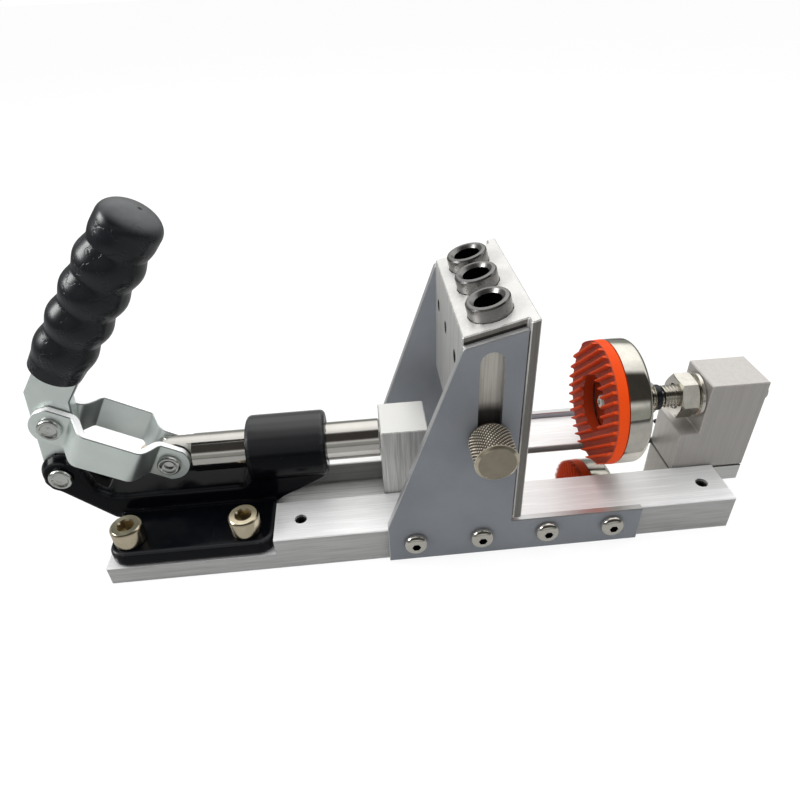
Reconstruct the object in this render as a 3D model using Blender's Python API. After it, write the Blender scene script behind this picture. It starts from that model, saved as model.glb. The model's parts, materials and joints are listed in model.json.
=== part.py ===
"""Pocket hole jig with a push-pull toggle clamp.

X runs along the rails with 0 at their middle, Y runs across with 0 between them,
and Z runs up from the bench. Sizes are metres.
"""

import math

import bmesh
import bpy
from mathutils import Matrix, Vector

# Fits
SEAT_GAP = 0.0003            # between pieces that rest on one another
EDGE_BREAK = 0.0004          # small chamfer on machined edges
CUT_OVER = 0.002             # how far a cutter runs past an open face
ROUND_STEPS = 24             # facets round a large turned piece
BOLT_STEPS = 18              # facets round a bolt, a bushing or a stud
SMALL_STEPS = 12             # facets round a screw

# Rails and floor
RAIL_LENGTH = 0.265
RAIL_WIDTH = 0.022
RAIL_HEIGHT = 0.017
CHANNEL_WIDTH = 0.022
FLOOR_THICKNESS = 0.006
FLOOR_LIP = 0.003            # rail wall left outside the floor plate
RAIL_SCREW_RADIUS = 0.00235
RAIL_SCREW_SINK = 0.001
RAIL_SCREW_FIRST = 0.0802    # from the left end of the rails
RAIL_SCREW_LAST = 0.0101     # from the right end of the rails

# Toggle clamp casting
FOOT_INSET = 0.0025          # from the left end of the rails to the foot
FOOT_LENGTH = 0.0665
FOOT_RECESS_DEPTH = 0.008
FOOT_CORNER = 0.006
CLAMP_BOLT_INSET = 0.0078    # from the foot's left edge to its first bolts
CLAMP_BOLT_PITCH = 0.0474
CLAMP_BOLT_EDGE = 0.0083     # from the foot's long edge to a bolt
CLAMP_BOLT_RADIUS = 0.004
CLAMP_BOLT_HEAD_RADIUS = 0.0064
CLAMP_BOLT_HEAD_HEIGHT = 0.008
CLAMP_BOLT_LENGTH = 0.014
WEB_THICKNESS = 0.016
WEB_HEIGHT = 0.0085          # above the foot
BARREL_RADIUS = 0.014
BARREL_LENGTH = 0.033
BARREL_END = 0.0935          # from the left end of the rails
PLUNGER_HEIGHT = 0.0401      # axis above the bench
PLUNGER_RADIUS = 0.0082
EAR_RADIUS = 0.0090
EAR_SLOT_END = 0.002         # past the left end of the rails
EAR_BEVEL_START = 0.0008     # from an ear's inner face to its bevel, which clears the links
EAR_BEVEL_DEPTH = 0.0021

# Linkage, with the ear pivot placed from the left end of the rails
EAR_PIVOT_OUT = 0.016
EAR_PIVOT_HEIGHT = 0.0391
CRANK_LENGTH = 0.0244
CRANK_LEAN = math.radians(7.8)
PLUNGER_PIN_IN = 0.0279      # from the left end of the rails to the plunger's pin
RIVET_RADIUS = 0.0025
RIVET_HEAD_RADIUS = 0.0048
RIVET_HEAD_HEIGHT = 0.002
RIVET_CROWN = 0.7            # radius of a head's flat top over its own
BAR_THICKNESS = 0.006
BAR_WIDTH = 0.016
BAR_FORK_HALF = 0.0058       # half width of the open slot round the ear rivet
BAR_FORK_ABOVE = 0.0088      # from the ear pivot to the slot's closed end
BAR_TAIL = 0.0062            # from the ear pivot to the bar's lower end
BAR_BEND = 0.0123            # from the crank rivet up to the bend
LINK_THICKNESS = 0.003
LINK_WIDTH = 0.016
LINK_FLAT = 0.0072           # straight tab next to the crank rivet
LINK_SLANT = 0.005
LINK_BULGE = 0.0224
LINK_STANDOUT = 0.0087       # how far the bulge stands out from the tabs

# Grip
GRIP_TILT = math.radians(36.1)
GRIP_START = 0.0123           # from the bar's bend to the collar
GRIP_LENGTH = 0.0757
GRIP_COLLAR_RADIUS = 0.0098
GRIP_NECK = 0.015            # how far the bar's neck runs into the grip
GRIP_NECK_SHARE = 0.62       # half width of the neck over the groove radius
GRIP_RIDGE_RADIUS = 0.0114
GRIP_GROOVE_RADIUS = 0.0101
GRIP_RIDGE_PITCH = 0.0135
GRIP_FIRST_RIDGE = 0.0122    # from the collar's edge
GRIP_HEAD_LENGTH = 0.0165
GRIP_HEAD_RADIUS = 0.0112
GRIP_BOW = 0.0030            # sideways lean of the upper end

# Side plates
PLATE_LEFT = 0.1164          # from the left end of the rails
PLATE_THICKNESS = 0.003
PLATE_FOOT = 0.002           # lower edge above the bench
PLATE_STRIP_TOP = 0.0195
PLATE_HEEL_TOP = 0.0216
PLATE_LENGTH = 0.1059
PLATE_SHOULDER = 0.1025      # height where the slanted edge meets the top
PLATE_SCREW_INSET = 0.0111
PLATE_SCREW_PITCH = 0.0275
PLATE_SCREW_COUNT = 4
PLATE_SCREW_HEIGHT = 0.0121
PLATE_SCREW_RADIUS = 0.0025
PLATE_SCREW_HEAD_RADIUS = 0.005
PLATE_SCREW_HEAD_HEIGHT = 0.0028
PLATE_SCREW_LENGTH = 0.012
SCREW_DOME = ((0.45, 1), (0.68, 0.88), (0.88, 0.6), (1, 0.25))   # shares of radius and height
SLOT_TRAVEL = 0.032
SLOT_PLAY = 0.0004

# Guide block
BLOCK_LEFT = 0.1454          # from the left end of the rails
BLOCK_DEPTH = 0.022
BLOCK_BOTTOM = 0.0535
BLOCK_TOP = 0.1053           # height of the top at its left edge
TOP_SLOPE = math.radians(15)
FLANGE_THICKNESS = 0.0034
FLANGE_BOTTOM = 0.0212
FLANGE_OVERLAP = 0.0002      # how far the flange stands past the plates' faces
BUSHING_RADIUS = 0.008
BUSHING_BORE_RADIUS = 0.005
BUSHING_STANDOUT = 0.0055
BUSHING_DEPTH = 0.024
BUSHING_FROM_LEFT = 0.0117   # from the block's left face to the bushings
BUSHING_PLACES = (-0.0213, 0.0009, 0.0199)
DRILL_PLAY = 0.0002
GRUB_RADIUS = 0.00225
GRUB_DROP = 0.0163           # below the top of the block's left face
GRUB_SINK = 0.0008           # below the block's left face
GRUB_SHIFT = 0.0037          # each grub screw bears on the side of its bushing

# Thumb screw
THUMB_HEIGHT = 0.0645
THUMB_FROM_LEFT = 0.0101     # from the block's left face to the thumb screw
THUMB_KNOB_RADIUS = 0.008
THUMB_KNOB_LENGTH = 0.0147
THUMB_SHANK_RADIUS = 0.004
THUMB_SHANK_LENGTH = 0.018

# Sliding carriage
SLIDER_HEIGHT = 0.0087
SLIDER_OVERHANG = 0.0147     # past the right end of the rails
PUSH_BLOCK_LEFT = 0.1164     # from the left end of the rails
PUSH_BLOCK_DEPTH = 0.0199
PUSH_BLOCK_TOP = 0.05
SPIGOT_RADIUS = 0.005
SPIGOT_LENGTH = 0.012
STOP_STEP_DEPTH = 0.0086
STOP_DEPTH = 0.0248
STOP_STEP_CLEARANCE = 0.0037   # from the washer's rim down to the step
STOP_ABOVE_STUD = 0.0108      # from the stud's axis to the top
CARRIAGE_SCREW_RADIUS = 0.003
CARRIAGE_SCREW_HEAD_RADIUS = 0.0055
CARRIAGE_SCREW_BITE = 0.012

# Pad, stud and nut
STUD_HEIGHT = 0.0491
STUD_RADIUS = 0.005
STUD_STANDOUT = 0.0058       # past the stop block's right face
STUD_SPIGOT_RADIUS = 0.003
STUD_SPIGOT_LENGTH = 0.012
WASHER_RADIUS = 0.01
WASHER_THICKNESS = 0.0017
NUT_ACROSS_FLATS = 0.017
NUT_THICKNESS = 0.0077
NUT_TO_NECK = 0.0047         # bare thread left of the lock nut
NECK_RADIUS = 0.0056
NECK_LENGTH = 0.0027
PAD_RADIUS = 0.027
CUP_RIM_WIDTH = 0.0100
CUP_CONE_DEPTH = 0.013
CUP_HUB_RADIUS = 0.007
CUP_SHOULDER_RADIUS = 0.022
PAD_THICKNESS = 0.0043       # from its back to the bottom of the grooves
FIN_HEIGHT = 0.0019
FIN_COUNT = 14
FIN_TURN = math.radians(43.5)
PAD_HOLE_RADIUS = 0.0122
PAD_SCREW_RADIUS = 0.0035
PAD_SCREW_HEAD_HEIGHT = 0.0018
PAD_SCREW_SHANK = 0.0015
PAD_SCREW_LENGTH = 0.0075

LEFT_END = -RAIL_LENGTH / 2
RIGHT_END = RAIL_LENGTH / 2
CHANNEL_HALF = CHANNEL_WIDTH / 2
OUTER_FACE = CHANNEL_HALF + RAIL_WIDTH
FOOT_LEFT = LEFT_END + FOOT_INSET
FOOT_RIGHT = FOOT_LEFT + FOOT_LENGTH
FOOT_FLOOR = RAIL_HEIGHT - FOOT_RECESS_DEPTH
FLOOR_HALF = OUTER_FACE - FLOOR_LIP
CLAMP_BOLT_Y = OUTER_FACE - CLAMP_BOLT_EDGE
RAIL_SCREW_Y = CHANNEL_HALF + RAIL_WIDTH / 2
RAIL_SCREW_XS = (LEFT_END + RAIL_SCREW_FIRST, RIGHT_END - RAIL_SCREW_LAST)
CLAMP_BOLT_XS = (FOOT_LEFT + CLAMP_BOLT_INSET, FOOT_LEFT + CLAMP_BOLT_INSET + CLAMP_BOLT_PITCH)
PLATE_X = LEFT_END + PLATE_LEFT
PLATE_INNER = OUTER_FACE + SEAT_GAP
PLATE_OUTER = PLATE_INNER + PLATE_THICKNESS
PLATE_SCREW_XS = [PLATE_X + PLATE_SCREW_INSET + i * PLATE_SCREW_PITCH for i in range(PLATE_SCREW_COUNT)]
BLOCK_X = LEFT_END + BLOCK_LEFT
FLANGE_X = BLOCK_X + BLOCK_DEPTH
FLANGE_FACE = FLANGE_X + FLANGE_THICKNESS
BLOCK_HALF = PLATE_INNER - SEAT_GAP
FLANGE_HALF = PLATE_OUTER + FLANGE_OVERLAP
THUMB_X = BLOCK_X + THUMB_FROM_LEFT
SLOT_HALF = THUMB_SHANK_RADIUS + SLOT_PLAY
GRUB_Z = BLOCK_TOP - GRUB_DROP
SLIDER_HALF = CHANNEL_HALF - SEAT_GAP
SLIDER_BOTTOM = FLOOR_THICKNESS + SEAT_GAP
SLIDER_TOP = SLIDER_BOTTOM + SLIDER_HEIGHT
PUSH_X = LEFT_END + PUSH_BLOCK_LEFT
SLIDER_END = RIGHT_END + SLIDER_OVERHANG
BLOCK_SEAT = SLIDER_TOP + SEAT_GAP
STOP_X = SLIDER_END - STOP_DEPTH
EAR_PIVOT = Vector((LEFT_END - EAR_PIVOT_OUT, 0, EAR_PIVOT_HEIGHT))
CRANK_UP = Vector((math.sin(CRANK_LEAN), 0, math.cos(CRANK_LEAN)))
CRANK_SIDE = Vector((math.cos(CRANK_LEAN), 0, -math.sin(CRANK_LEAN)))
CRANK_PIVOT = EAR_PIVOT + CRANK_UP * CRANK_LENGTH
PLUNGER_PIN = Vector((LEFT_END + PLUNGER_PIN_IN, 0, PLUNGER_HEIGHT))
LINK_DIRECTION = (PLUNGER_PIN - CRANK_PIVOT).normalized()
LINK_LENGTH = (PLUNGER_PIN - CRANK_PIVOT).length
BEND = CRANK_PIVOT + CRANK_UP * BAR_BEND
GRIP_UP = Vector((math.sin(GRIP_TILT), 0, math.cos(GRIP_TILT)))
BARREL_RIGHT = LEFT_END + BARREL_END
BARREL_LEFT = BARREL_RIGHT - BARREL_LENGTH
TANG_HALF = BAR_THICKNESS / 2
TAB_INNER = TANG_HALF + SEAT_GAP
TAB_OUTER = TAB_INNER + LINK_THICKNESS
WASHER_X = STOP_X - SEAT_GAP - WASHER_THICKNESS
NUT_X = WASHER_X - SEAT_GAP - NUT_THICKNESS
NECK_X = NUT_X - NUT_TO_NECK - NECK_LENGTH
HUB_X = NECK_X - SEAT_GAP
CUP_SHOULDER_X = HUB_X - CUP_CONE_DEPTH
CUP_FACE = CUP_SHOULDER_X - CUP_RIM_WIDTH
PAD_BACK = CUP_FACE - SEAT_GAP
GROOVE_X = PAD_BACK - PAD_THICKNESS
FIN_TIP = GROOVE_X - FIN_HEIGHT


def clear_scene():
    for item in list(bpy.data.objects):
        bpy.data.objects.remove(item, do_unlink=True)


def surface(name, colour, roughness, metallic):
    material = bpy.data.materials.new(name)
    material.use_nodes = True
    shader = material.node_tree.nodes["Principled BSDF"]
    shader.inputs["Base Color"].default_value = (*colour, 1)
    shader.inputs["Roughness"].default_value = roughness
    shader.inputs["Metallic"].default_value = metallic
    return material


def brushed_aluminium(name):
    return surface(name, (0.80, 0.79, 0.77), 0.38, 1.0)


def blue_grey_plate(name):
    return surface(name, (0.20, 0.21, 0.23), 0.55, 0.6)


def zinc(name):
    return surface(name, (0.62, 0.64, 0.62), 0.3, 1.0)


def bright_nickel(name):
    return surface(name, (0.75, 0.72, 0.66), 0.2, 1.0)


def black_paint(name):
    return surface(name, (0.012, 0.012, 0.013), 0.3, 0.0)


def dark_steel(name):
    return surface(name, (0.03, 0.03, 0.03), 0.4, 1.0)


def bushing_steel(name):
    return surface(name, (0.33, 0.33, 0.33), 0.3, 1.0)


def black_vinyl(name):
    return surface(name, (0.015, 0.015, 0.017), 0.4, 0.0)


def orange_rubber(name):
    return surface(name, (0.85, 0.11, 0.02), 0.6, 0.0)


def make_object(name, mesh_data, finish, origin=Vector((0, 0, 0)), parent=None):
    """Turns bmesh geometry drawn in world places into an object with its own origin."""
    bmesh.ops.remove_doubles(mesh_data, verts=mesh_data.verts, dist=1e-7)
    bmesh.ops.recalc_face_normals(mesh_data, faces=mesh_data.faces)
    bmesh.ops.translate(mesh_data, verts=mesh_data.verts, vec=-origin)
    mesh = bpy.data.meshes.new(name)
    mesh_data.to_mesh(mesh)
    mesh_data.free()
    piece = bpy.data.objects.new(name, mesh)
    bpy.context.scene.collection.objects.link(piece)
    if finish:
        mesh.materials.append(finish(name + "_surface"))
    if parent:
        piece.parent = parent
        piece.location = origin - parent.location
    else:
        piece.location = origin
    return piece


def body_frame(name, place):
    """An empty on a moving body's joint axis, which its pieces are parented to."""
    empty = bpy.data.objects.new(name, None)
    empty.location = place
    bpy.context.scene.collection.objects.link(empty)
    return empty


def shade_round(piece, degrees=35):
    piece.data.shade_smooth()
    piece.data.set_sharp_from_angle(angle=math.radians(degrees))
    return piece


def break_edges(piece, width=EDGE_BREAK, steps=1, degrees=40):
    bevel = piece.modifiers.new("broken_edges", "BEVEL")
    bevel.width = width
    bevel.segments = steps
    bevel.limit_method = "ANGLE"
    bevel.angle_limit = math.radians(degrees)
    return piece


def combine(piece, tool, operation):
    """Cuts a tool from a piece, or joins it on, and hides the tool from renders."""
    boolean = piece.modifiers.new(tool.name, "BOOLEAN")
    boolean.operation = operation
    boolean.solver = "EXACT"
    boolean.object = tool
    tool.hide_render = True
    tool.display_type = "WIRE"
    return piece


def cut(piece, *tools):
    for tool in tools:
        combine(piece, tool, "DIFFERENCE")
    return piece


def join(piece, *tools):
    for tool in tools:
        combine(piece, tool, "UNION")
    return piece


def box_shape(low, high):
    shape = bmesh.new()
    size = Vector(high) - Vector(low)
    middle = (Vector(high) + Vector(low)) / 2
    bmesh.ops.create_cube(shape, size=1, matrix=Matrix.Translation(middle) @ Matrix.Diagonal((*size, 1)))
    return shape


def box(name, low, high, finish=None, **place):
    return make_object(name, box_shape(low, high), finish, **place)


def side_shape(outline, low, high):
    """A profile drawn as (X, Z) points, extruded along Y."""
    shape = bmesh.new()
    face = shape.faces.new([shape.verts.new((x, low, z)) for x, z in outline])
    grown = bmesh.ops.extrude_face_region(shape, geom=[face])
    moved = [item for item in grown["geom"] if isinstance(item, bmesh.types.BMVert)]
    bmesh.ops.translate(shape, verts=moved, vec=(0, high - low, 0))
    return shape


def side_profile(name, outline, low, high, finish=None, **place):
    return make_object(name, side_shape(outline, low, high), finish, **place)


def arc(centre, radius, start, end, steps):
    """Points on an arc in a plane, with angles in degrees."""
    angles = [math.radians(start + (end - start) * i / steps) for i in range(steps + 1)]
    return [(centre[0] + radius * math.cos(a), centre[1] + radius * math.sin(a)) for a in angles]


def turned_shape(profile, start, direction, steps=ROUND_STEPS):
    """A turned solid: profile is (distance along the axis, radius), 0 radius at both ends."""
    axis = Vector(direction).normalized()
    turn = axis.to_track_quat("Z", "Y").to_matrix().to_4x4()
    shape = bmesh.new()
    rings = []
    for along, radius in profile:
        if radius <= 0:
            rings.append([shape.verts.new((0, 0, along))])
            continue
        ring = []
        for i in range(steps):
            angle = 2 * math.pi * (i + 0.5) / steps
            ring.append(shape.verts.new((radius * math.cos(angle), radius * math.sin(angle), along)))
        rings.append(ring)
    for first, second in zip(rings, rings[1:]):
        for i in range(steps):
            j = (i + 1) % steps
            corners = [first[i % len(first)], first[j % len(first)], second[j % len(second)], second[i % len(second)]]
            distinct = list(dict.fromkeys(corners))
            if len(distinct) > 2:
                shape.faces.new(distinct)
    bmesh.ops.transform(shape, verts=shape.verts, matrix=Matrix.Translation(start) @ turn)
    return shape


def turned(name, profile, start, direction, finish=None, steps=ROUND_STEPS, **place):
    piece = make_object(name, turned_shape(profile, start, direction, steps), finish, **place)
    return shade_round(piece)


def rod(name, radius, start, direction, length, steps=SMALL_STEPS, finish=None, **place):
    return turned(name, [(0, 0), (0, radius), (length, radius), (length, 0)], start, direction,
                  finish, steps, **place)


def ring_shape(outer, inner, start, direction, steps=ROUND_STEPS):
    """A turned ring: outer and inner are lists of (distance, radius) from one end to the other."""
    axis = Vector(direction).normalized()
    turn = axis.to_track_quat("Z", "Y").to_matrix().to_4x4()
    shape = bmesh.new()
    loop = list(outer) + list(reversed(inner))
    rings = []
    for along, radius in loop:
        ring = []
        for i in range(steps):
            angle = 2 * math.pi * (i + 0.5) / steps
            ring.append(shape.verts.new((radius * math.cos(angle), radius * math.sin(angle), along)))
        rings.append(ring)
    for first, second in zip(rings, rings[1:] + rings[:1]):
        for i in range(steps):
            j = (i + 1) % steps
            shape.faces.new((first[i], first[j], second[j], second[i]))
    bmesh.ops.transform(shape, verts=shape.verts, matrix=Matrix.Translation(start) @ turn)
    return shape


def ring(name, outer, inner, start, direction, finish=None, steps=ROUND_STEPS, **place):
    piece = make_object(name, ring_shape(outer, inner, start, direction, steps), finish, **place)
    return shade_round(piece)


def hex_socket(name, across_flats, start, direction, depth):
    """The cutter for a hexagon socket that opens at start and goes in along direction."""
    opened = Vector(start) - Vector(direction).normalized() * CUT_OVER
    corner = across_flats / math.sqrt(3)
    return rod(name, corner, opened, direction, depth + CUT_OVER, steps=6)


# Rails and floor

def make_rail(name, side):
    inner = side * CHANNEL_HALF
    outer = side * OUTER_FACE
    low_y, high_y = sorted((inner, outer))
    rail = box(name, (LEFT_END, low_y, 0), (RIGHT_END, high_y, RAIL_HEIGHT), brushed_aluminium)
    break_edges(rail)
    recess = box(name + "_foot_recess",
                 (LEFT_END - CUT_OVER, low_y - CUT_OVER, FOOT_FLOOR),
                 (FOOT_RIGHT + SEAT_GAP, high_y + CUT_OVER, RAIL_HEIGHT + CUT_OVER))
    lap = side * (FLOOR_HALF + SEAT_GAP)
    open_side = side * (CHANNEL_HALF - CUT_OVER)
    lap_low, lap_high = sorted((lap, open_side))
    rebate = box(name + "_floor_rebate",
                 (LEFT_END - CUT_OVER, lap_low, -CUT_OVER),
                 (RIGHT_END + CUT_OVER, lap_high, FLOOR_THICKNESS + SEAT_GAP))
    cut(rail, recess, rebate)
    for i, x in enumerate(RAIL_SCREW_XS):
        hole = rod(f"{name}_screw_hole_{i + 1}", RAIL_SCREW_RADIUS + SEAT_GAP,
                   (x, side * RAIL_SCREW_Y, -CUT_OVER), (0, 0, 1), RAIL_HEIGHT + 2 * CUT_OVER)
        cut(rail, hole)
    for i, x in enumerate(CLAMP_BOLT_XS):
        hole = rod(f"{name}_bolt_hole_{i + 1}", CLAMP_BOLT_RADIUS + SEAT_GAP,
                   (x, side * CLAMP_BOLT_Y, -CUT_OVER), (0, 0, 1), RAIL_HEIGHT + CUT_OVER)
        cut(rail, hole)
    for i, x in enumerate(PLATE_SCREW_XS):
        depth = PLATE_SCREW_LENGTH + SEAT_GAP
        hole = rod(f"{name}_plate_hole_{i + 1}", PLATE_SCREW_RADIUS + SEAT_GAP,
                   (x, side * (OUTER_FACE + CUT_OVER), PLATE_SCREW_HEIGHT), (0, -side, 0), depth + CUT_OVER)
        cut(rail, hole)
    return rail


def make_floor_plate():
    floor = box("floor_plate", (LEFT_END, -FLOOR_HALF, 0), (RIGHT_END, FLOOR_HALF, FLOOR_THICKNESS),
                brushed_aluminium)
    for side in (-1, 1):
        for i, x in enumerate(RAIL_SCREW_XS):
            cut(floor, rod(f"floor_screw_hole_{side}_{i}", RAIL_SCREW_RADIUS + SEAT_GAP,
                           (x, side * RAIL_SCREW_Y, -CUT_OVER), (0, 0, 1), FLOOR_THICKNESS + 2 * CUT_OVER))
        for i, x in enumerate(CLAMP_BOLT_XS):
            cut(floor, rod(f"floor_bolt_hole_{side}_{i}", CLAMP_BOLT_RADIUS + SEAT_GAP,
                           (x, side * CLAMP_BOLT_Y, -CUT_OVER), (0, 0, 1), FLOOR_THICKNESS + 2 * CUT_OVER))
    return floor


def make_rail_screws():
    top = RAIL_HEIGHT - RAIL_SCREW_SINK
    length = top - SEAT_GAP
    number = 1
    for x in RAIL_SCREW_XS:
        for side in (-1, 1):
            start = (x, side * RAIL_SCREW_Y, top)
            screw = rod(f"rail_screw_{number}", RAIL_SCREW_RADIUS, start, (0, 0, -1), length,
                        finish=dark_steel)
            cut(screw, hex_socket(f"rail_screw_socket_{number}", 0.0025, start, (0, 0, -1), 0.0025))
            number += 1


# Side plates

def make_side_plate(name, side):
    right = BLOCK_X + BLOCK_DEPTH - SEAT_GAP
    shoulder_x = BLOCK_X - SEAT_GAP
    top_right = PLATE_SHOULDER + (right - shoulder_x) * math.tan(TOP_SLOPE)
    outline = [
        (PLATE_X, PLATE_FOOT),
        (PLATE_X + PLATE_LENGTH, PLATE_FOOT),
        (PLATE_X + PLATE_LENGTH, PLATE_STRIP_TOP),
        (right, PLATE_STRIP_TOP),
        (right, top_right),
        (shoulder_x, PLATE_SHOULDER),
        (PLATE_X, PLATE_HEEL_TOP),
    ]
    low, high = sorted((side * PLATE_INNER, side * PLATE_OUTER))
    plate = break_edges(side_profile(name, outline, low, high, blue_grey_plate), 0.0003)
    slot_low = THUMB_HEIGHT
    slot_high = THUMB_HEIGHT + SLOT_TRAVEL
    slot = (arc((THUMB_X, slot_low), SLOT_HALF, 180, 360, 10)
            + arc((THUMB_X, slot_high), SLOT_HALF, 0, 180, 10))
    cut(plate, side_profile(name + "_slot", slot, low - CUT_OVER, high + CUT_OVER))
    for i, x in enumerate(PLATE_SCREW_XS):
        cut(plate, rod(f"{name}_hole_{i + 1}", PLATE_SCREW_RADIUS + SEAT_GAP,
                       (x, low - CUT_OVER, PLATE_SCREW_HEIGHT), (0, 1, 0), high - low + 2 * CUT_OVER))
    return plate


def dome(height, radius):
    """The top of a domed screw head, from its flat crown down to its widest ring."""
    return [(-height, 0)] + [(-height * high, radius * wide) for wide, high in SCREW_DOME]


def make_plate_screws(prefix, side):
    seat = PLATE_OUTER + SEAT_GAP
    head = PLATE_SCREW_HEAD_HEIGHT
    radius = PLATE_SCREW_HEAD_RADIUS
    tip = seat - OUTER_FACE + PLATE_SCREW_LENGTH
    profile = [*dome(head, radius), (0, radius), (0, PLATE_SCREW_RADIUS), (tip, PLATE_SCREW_RADIUS), (tip, 0)]
    for i, x in enumerate(PLATE_SCREW_XS):
        seat_point = Vector((x, side * seat, PLATE_SCREW_HEIGHT))
        screw = turned(f"{prefix}_{i + 1}", profile, seat_point, (0, -side, 0), bright_nickel, SMALL_STEPS)
        crown = seat_point + Vector((0, side * head, 0))
        cut(screw, hex_socket(f"{prefix}_socket_{i + 1}", 0.003, crown, (0, -side, 0), 0.0016))


# Toggle clamp casting

def make_clamp_body():
    foot_low = FOOT_FLOOR + SEAT_GAP
    corner = FOOT_CORNER
    corners = [(FOOT_RIGHT - corner, OUTER_FACE - corner, 0), (FOOT_LEFT + corner, OUTER_FACE - corner, 90),
               (FOOT_LEFT + corner, corner - OUTER_FACE, 180), (FOOT_RIGHT - corner, corner - OUTER_FACE, 270)]
    plan = []
    for x, y, start in corners:
        plan += arc((x, y), corner, start, start + 90, 4)
    shape = bmesh.new()
    face = shape.faces.new([shape.verts.new((x, y, foot_low)) for x, y in plan])
    grown = bmesh.ops.extrude_face_region(shape, geom=[face])
    moved = [item for item in grown["geom"] if isinstance(item, bmesh.types.BMVert)]
    bmesh.ops.translate(shape, verts=moved, vec=(0, 0, RAIL_HEIGHT - foot_low))
    casting = make_object("clamp_body", shape, black_paint)
    break_edges(casting, 0.0008)

    web_top = RAIL_HEIGHT + WEB_HEIGHT
    slot_end = LEFT_END - EAR_SLOT_END
    ear_x, ear_z = EAR_PIVOT.x, EAR_PIVOT.z
    outline = [
        (FOOT_RIGHT - CUT_OVER, FOOT_FLOOR + 2 * CUT_OVER),
        (FOOT_RIGHT + 0.004, RAIL_HEIGHT),
        (BARREL_RIGHT - 0.0139, RAIL_HEIGHT + 0.003),
        (BARREL_RIGHT - 0.0083, RAIL_HEIGHT + 0.0059),
        (BARREL_RIGHT - 0.0013, PLUNGER_HEIGHT - BARREL_RADIUS * 0.95),
        (BARREL_RIGHT - 0.0023, PLUNGER_HEIGHT),
        (BARREL_LEFT + 0.0015, PLUNGER_HEIGHT),
        (BARREL_LEFT - 0.0005, web_top + 0.005),
        (BARREL_LEFT - 0.0045, web_top),
        (LEFT_END + 0.006, web_top),
        (LEFT_END + 0.0005, web_top + 0.0008),
        (slot_end - 0.0028, web_top + 0.0045),
    ]
    outline += arc((ear_x + 0.0002, ear_z + 0.0002), EAR_RADIUS, 34, 200, 12)
    outline += [
        (ear_x - 0.0060, ear_z - 0.0073),
        (ear_x - 0.0036, ear_z - 0.0082),
        (LEFT_END - 0.001, FOOT_FLOOR + 0.0035),
        (LEFT_END + 2 * CUT_OVER, FOOT_FLOOR + 0.0035),
    ]
    half = WEB_THICKNESS / 2
    web = break_edges(side_profile("clamp_web", outline, -half, half), 0.0012)
    barrel = turned("clamp_barrel",
                    [(0, 0), (0, BARREL_RADIUS - 0.0012), (0.0012, BARREL_RADIUS),
                     (BARREL_LENGTH - 0.0012, BARREL_RADIUS), (BARREL_LENGTH, BARREL_RADIUS - 0.0012),
                     (BARREL_LENGTH, 0)],
                    (BARREL_LEFT, 0, PLUNGER_HEIGHT), (1, 0, 0))
    join(casting, web, barrel)
    bore = rod("clamp_bore", PLUNGER_RADIUS + SEAT_GAP, (LEFT_END + 0.03, 0, PLUNGER_HEIGHT), (1, 0, 0),
               BARREL_END, ROUND_STEPS)
    ear_slot = box("ear_slot", (ear_x - 2 * EAR_RADIUS, -TAB_INNER, 0),
                   (slot_end, TAB_INNER, ear_z + 2 * EAR_RADIUS))
    rivet_hole = rod("ear_rivet_hole", RIVET_RADIUS + SEAT_GAP, EAR_PIVOT - Vector((0, 0.02, 0)), (0, 1, 0), 0.04)
    cut(casting, bore, ear_slot, rivet_hole, *ear_bevels(half))
    for side in (-1, 1):
        for i, x in enumerate(CLAMP_BOLT_XS):
            cut(casting, rod(f"foot_hole_{side}_{i}", CLAMP_BOLT_RADIUS + SEAT_GAP,
                             (x, side * CLAMP_BOLT_Y, 0), (0, 0, 1), RAIL_HEIGHT + CUT_OVER))
    return shade_round(casting, 30)


def ear_bevels(half):
    """Cutters that thin the outer top edge of both ears, where the links swing past."""
    bevels = []
    start = TAB_INNER + EAR_BEVEL_START
    width = half - start + EDGE_BREAK
    reach = 2 * EAR_RADIUS
    for side in (-1, 1):
        bevel = ring(f"ear_bevel_{side}", [(0, reach), (width, reach)],
                     [(0, EAR_RADIUS + EDGE_BREAK), (width, EAR_RADIUS - EAR_BEVEL_DEPTH)],
                     EAR_PIVOT + Vector((0, side * start, 0)), (0, side, 0), None)
        web_side = box(f"web_side_{side}", (EAR_PIVOT.x + EAR_RADIUS / 2, -reach, 0),
                       (EAR_PIVOT.x + 2 * reach, reach, 2 * EAR_PIVOT_HEIGHT))
        under_side = box(f"under_side_{side}", (EAR_PIVOT.x - 2 * reach, -reach, 0),
                         (EAR_PIVOT.x + 2 * reach, reach, EAR_PIVOT_HEIGHT - EAR_RADIUS / 4))
        bevels.append(cut(bevel, web_side, under_side))
    return bevels


def make_clamp_bolts():
    seat = RAIL_HEIGHT + SEAT_GAP
    head = CLAMP_BOLT_HEAD_HEIGHT
    radius = CLAMP_BOLT_HEAD_RADIUS
    length = min(CLAMP_BOLT_LENGTH, seat - SEAT_GAP)
    profile = [(-head, 0), (-head, radius - 0.0008), (-head + 0.0008, radius), (0, radius),
               (0, CLAMP_BOLT_RADIUS), (length, CLAMP_BOLT_RADIUS), (length, 0)]
    number = 1
    for x in CLAMP_BOLT_XS:
        for side in (-1, 1):
            place = Vector((x, side * CLAMP_BOLT_Y, seat))
            bolt = turned(f"clamp_bolt_{number}", profile, place, (0, 0, -1), bright_nickel, BOLT_STEPS)
            cut(bolt, hex_socket(f"clamp_bolt_socket_{number}", 0.006, place + Vector((0, 0, head)),
                                 (0, 0, -1), 0.004))
            number += 1


# Linkage

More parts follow.
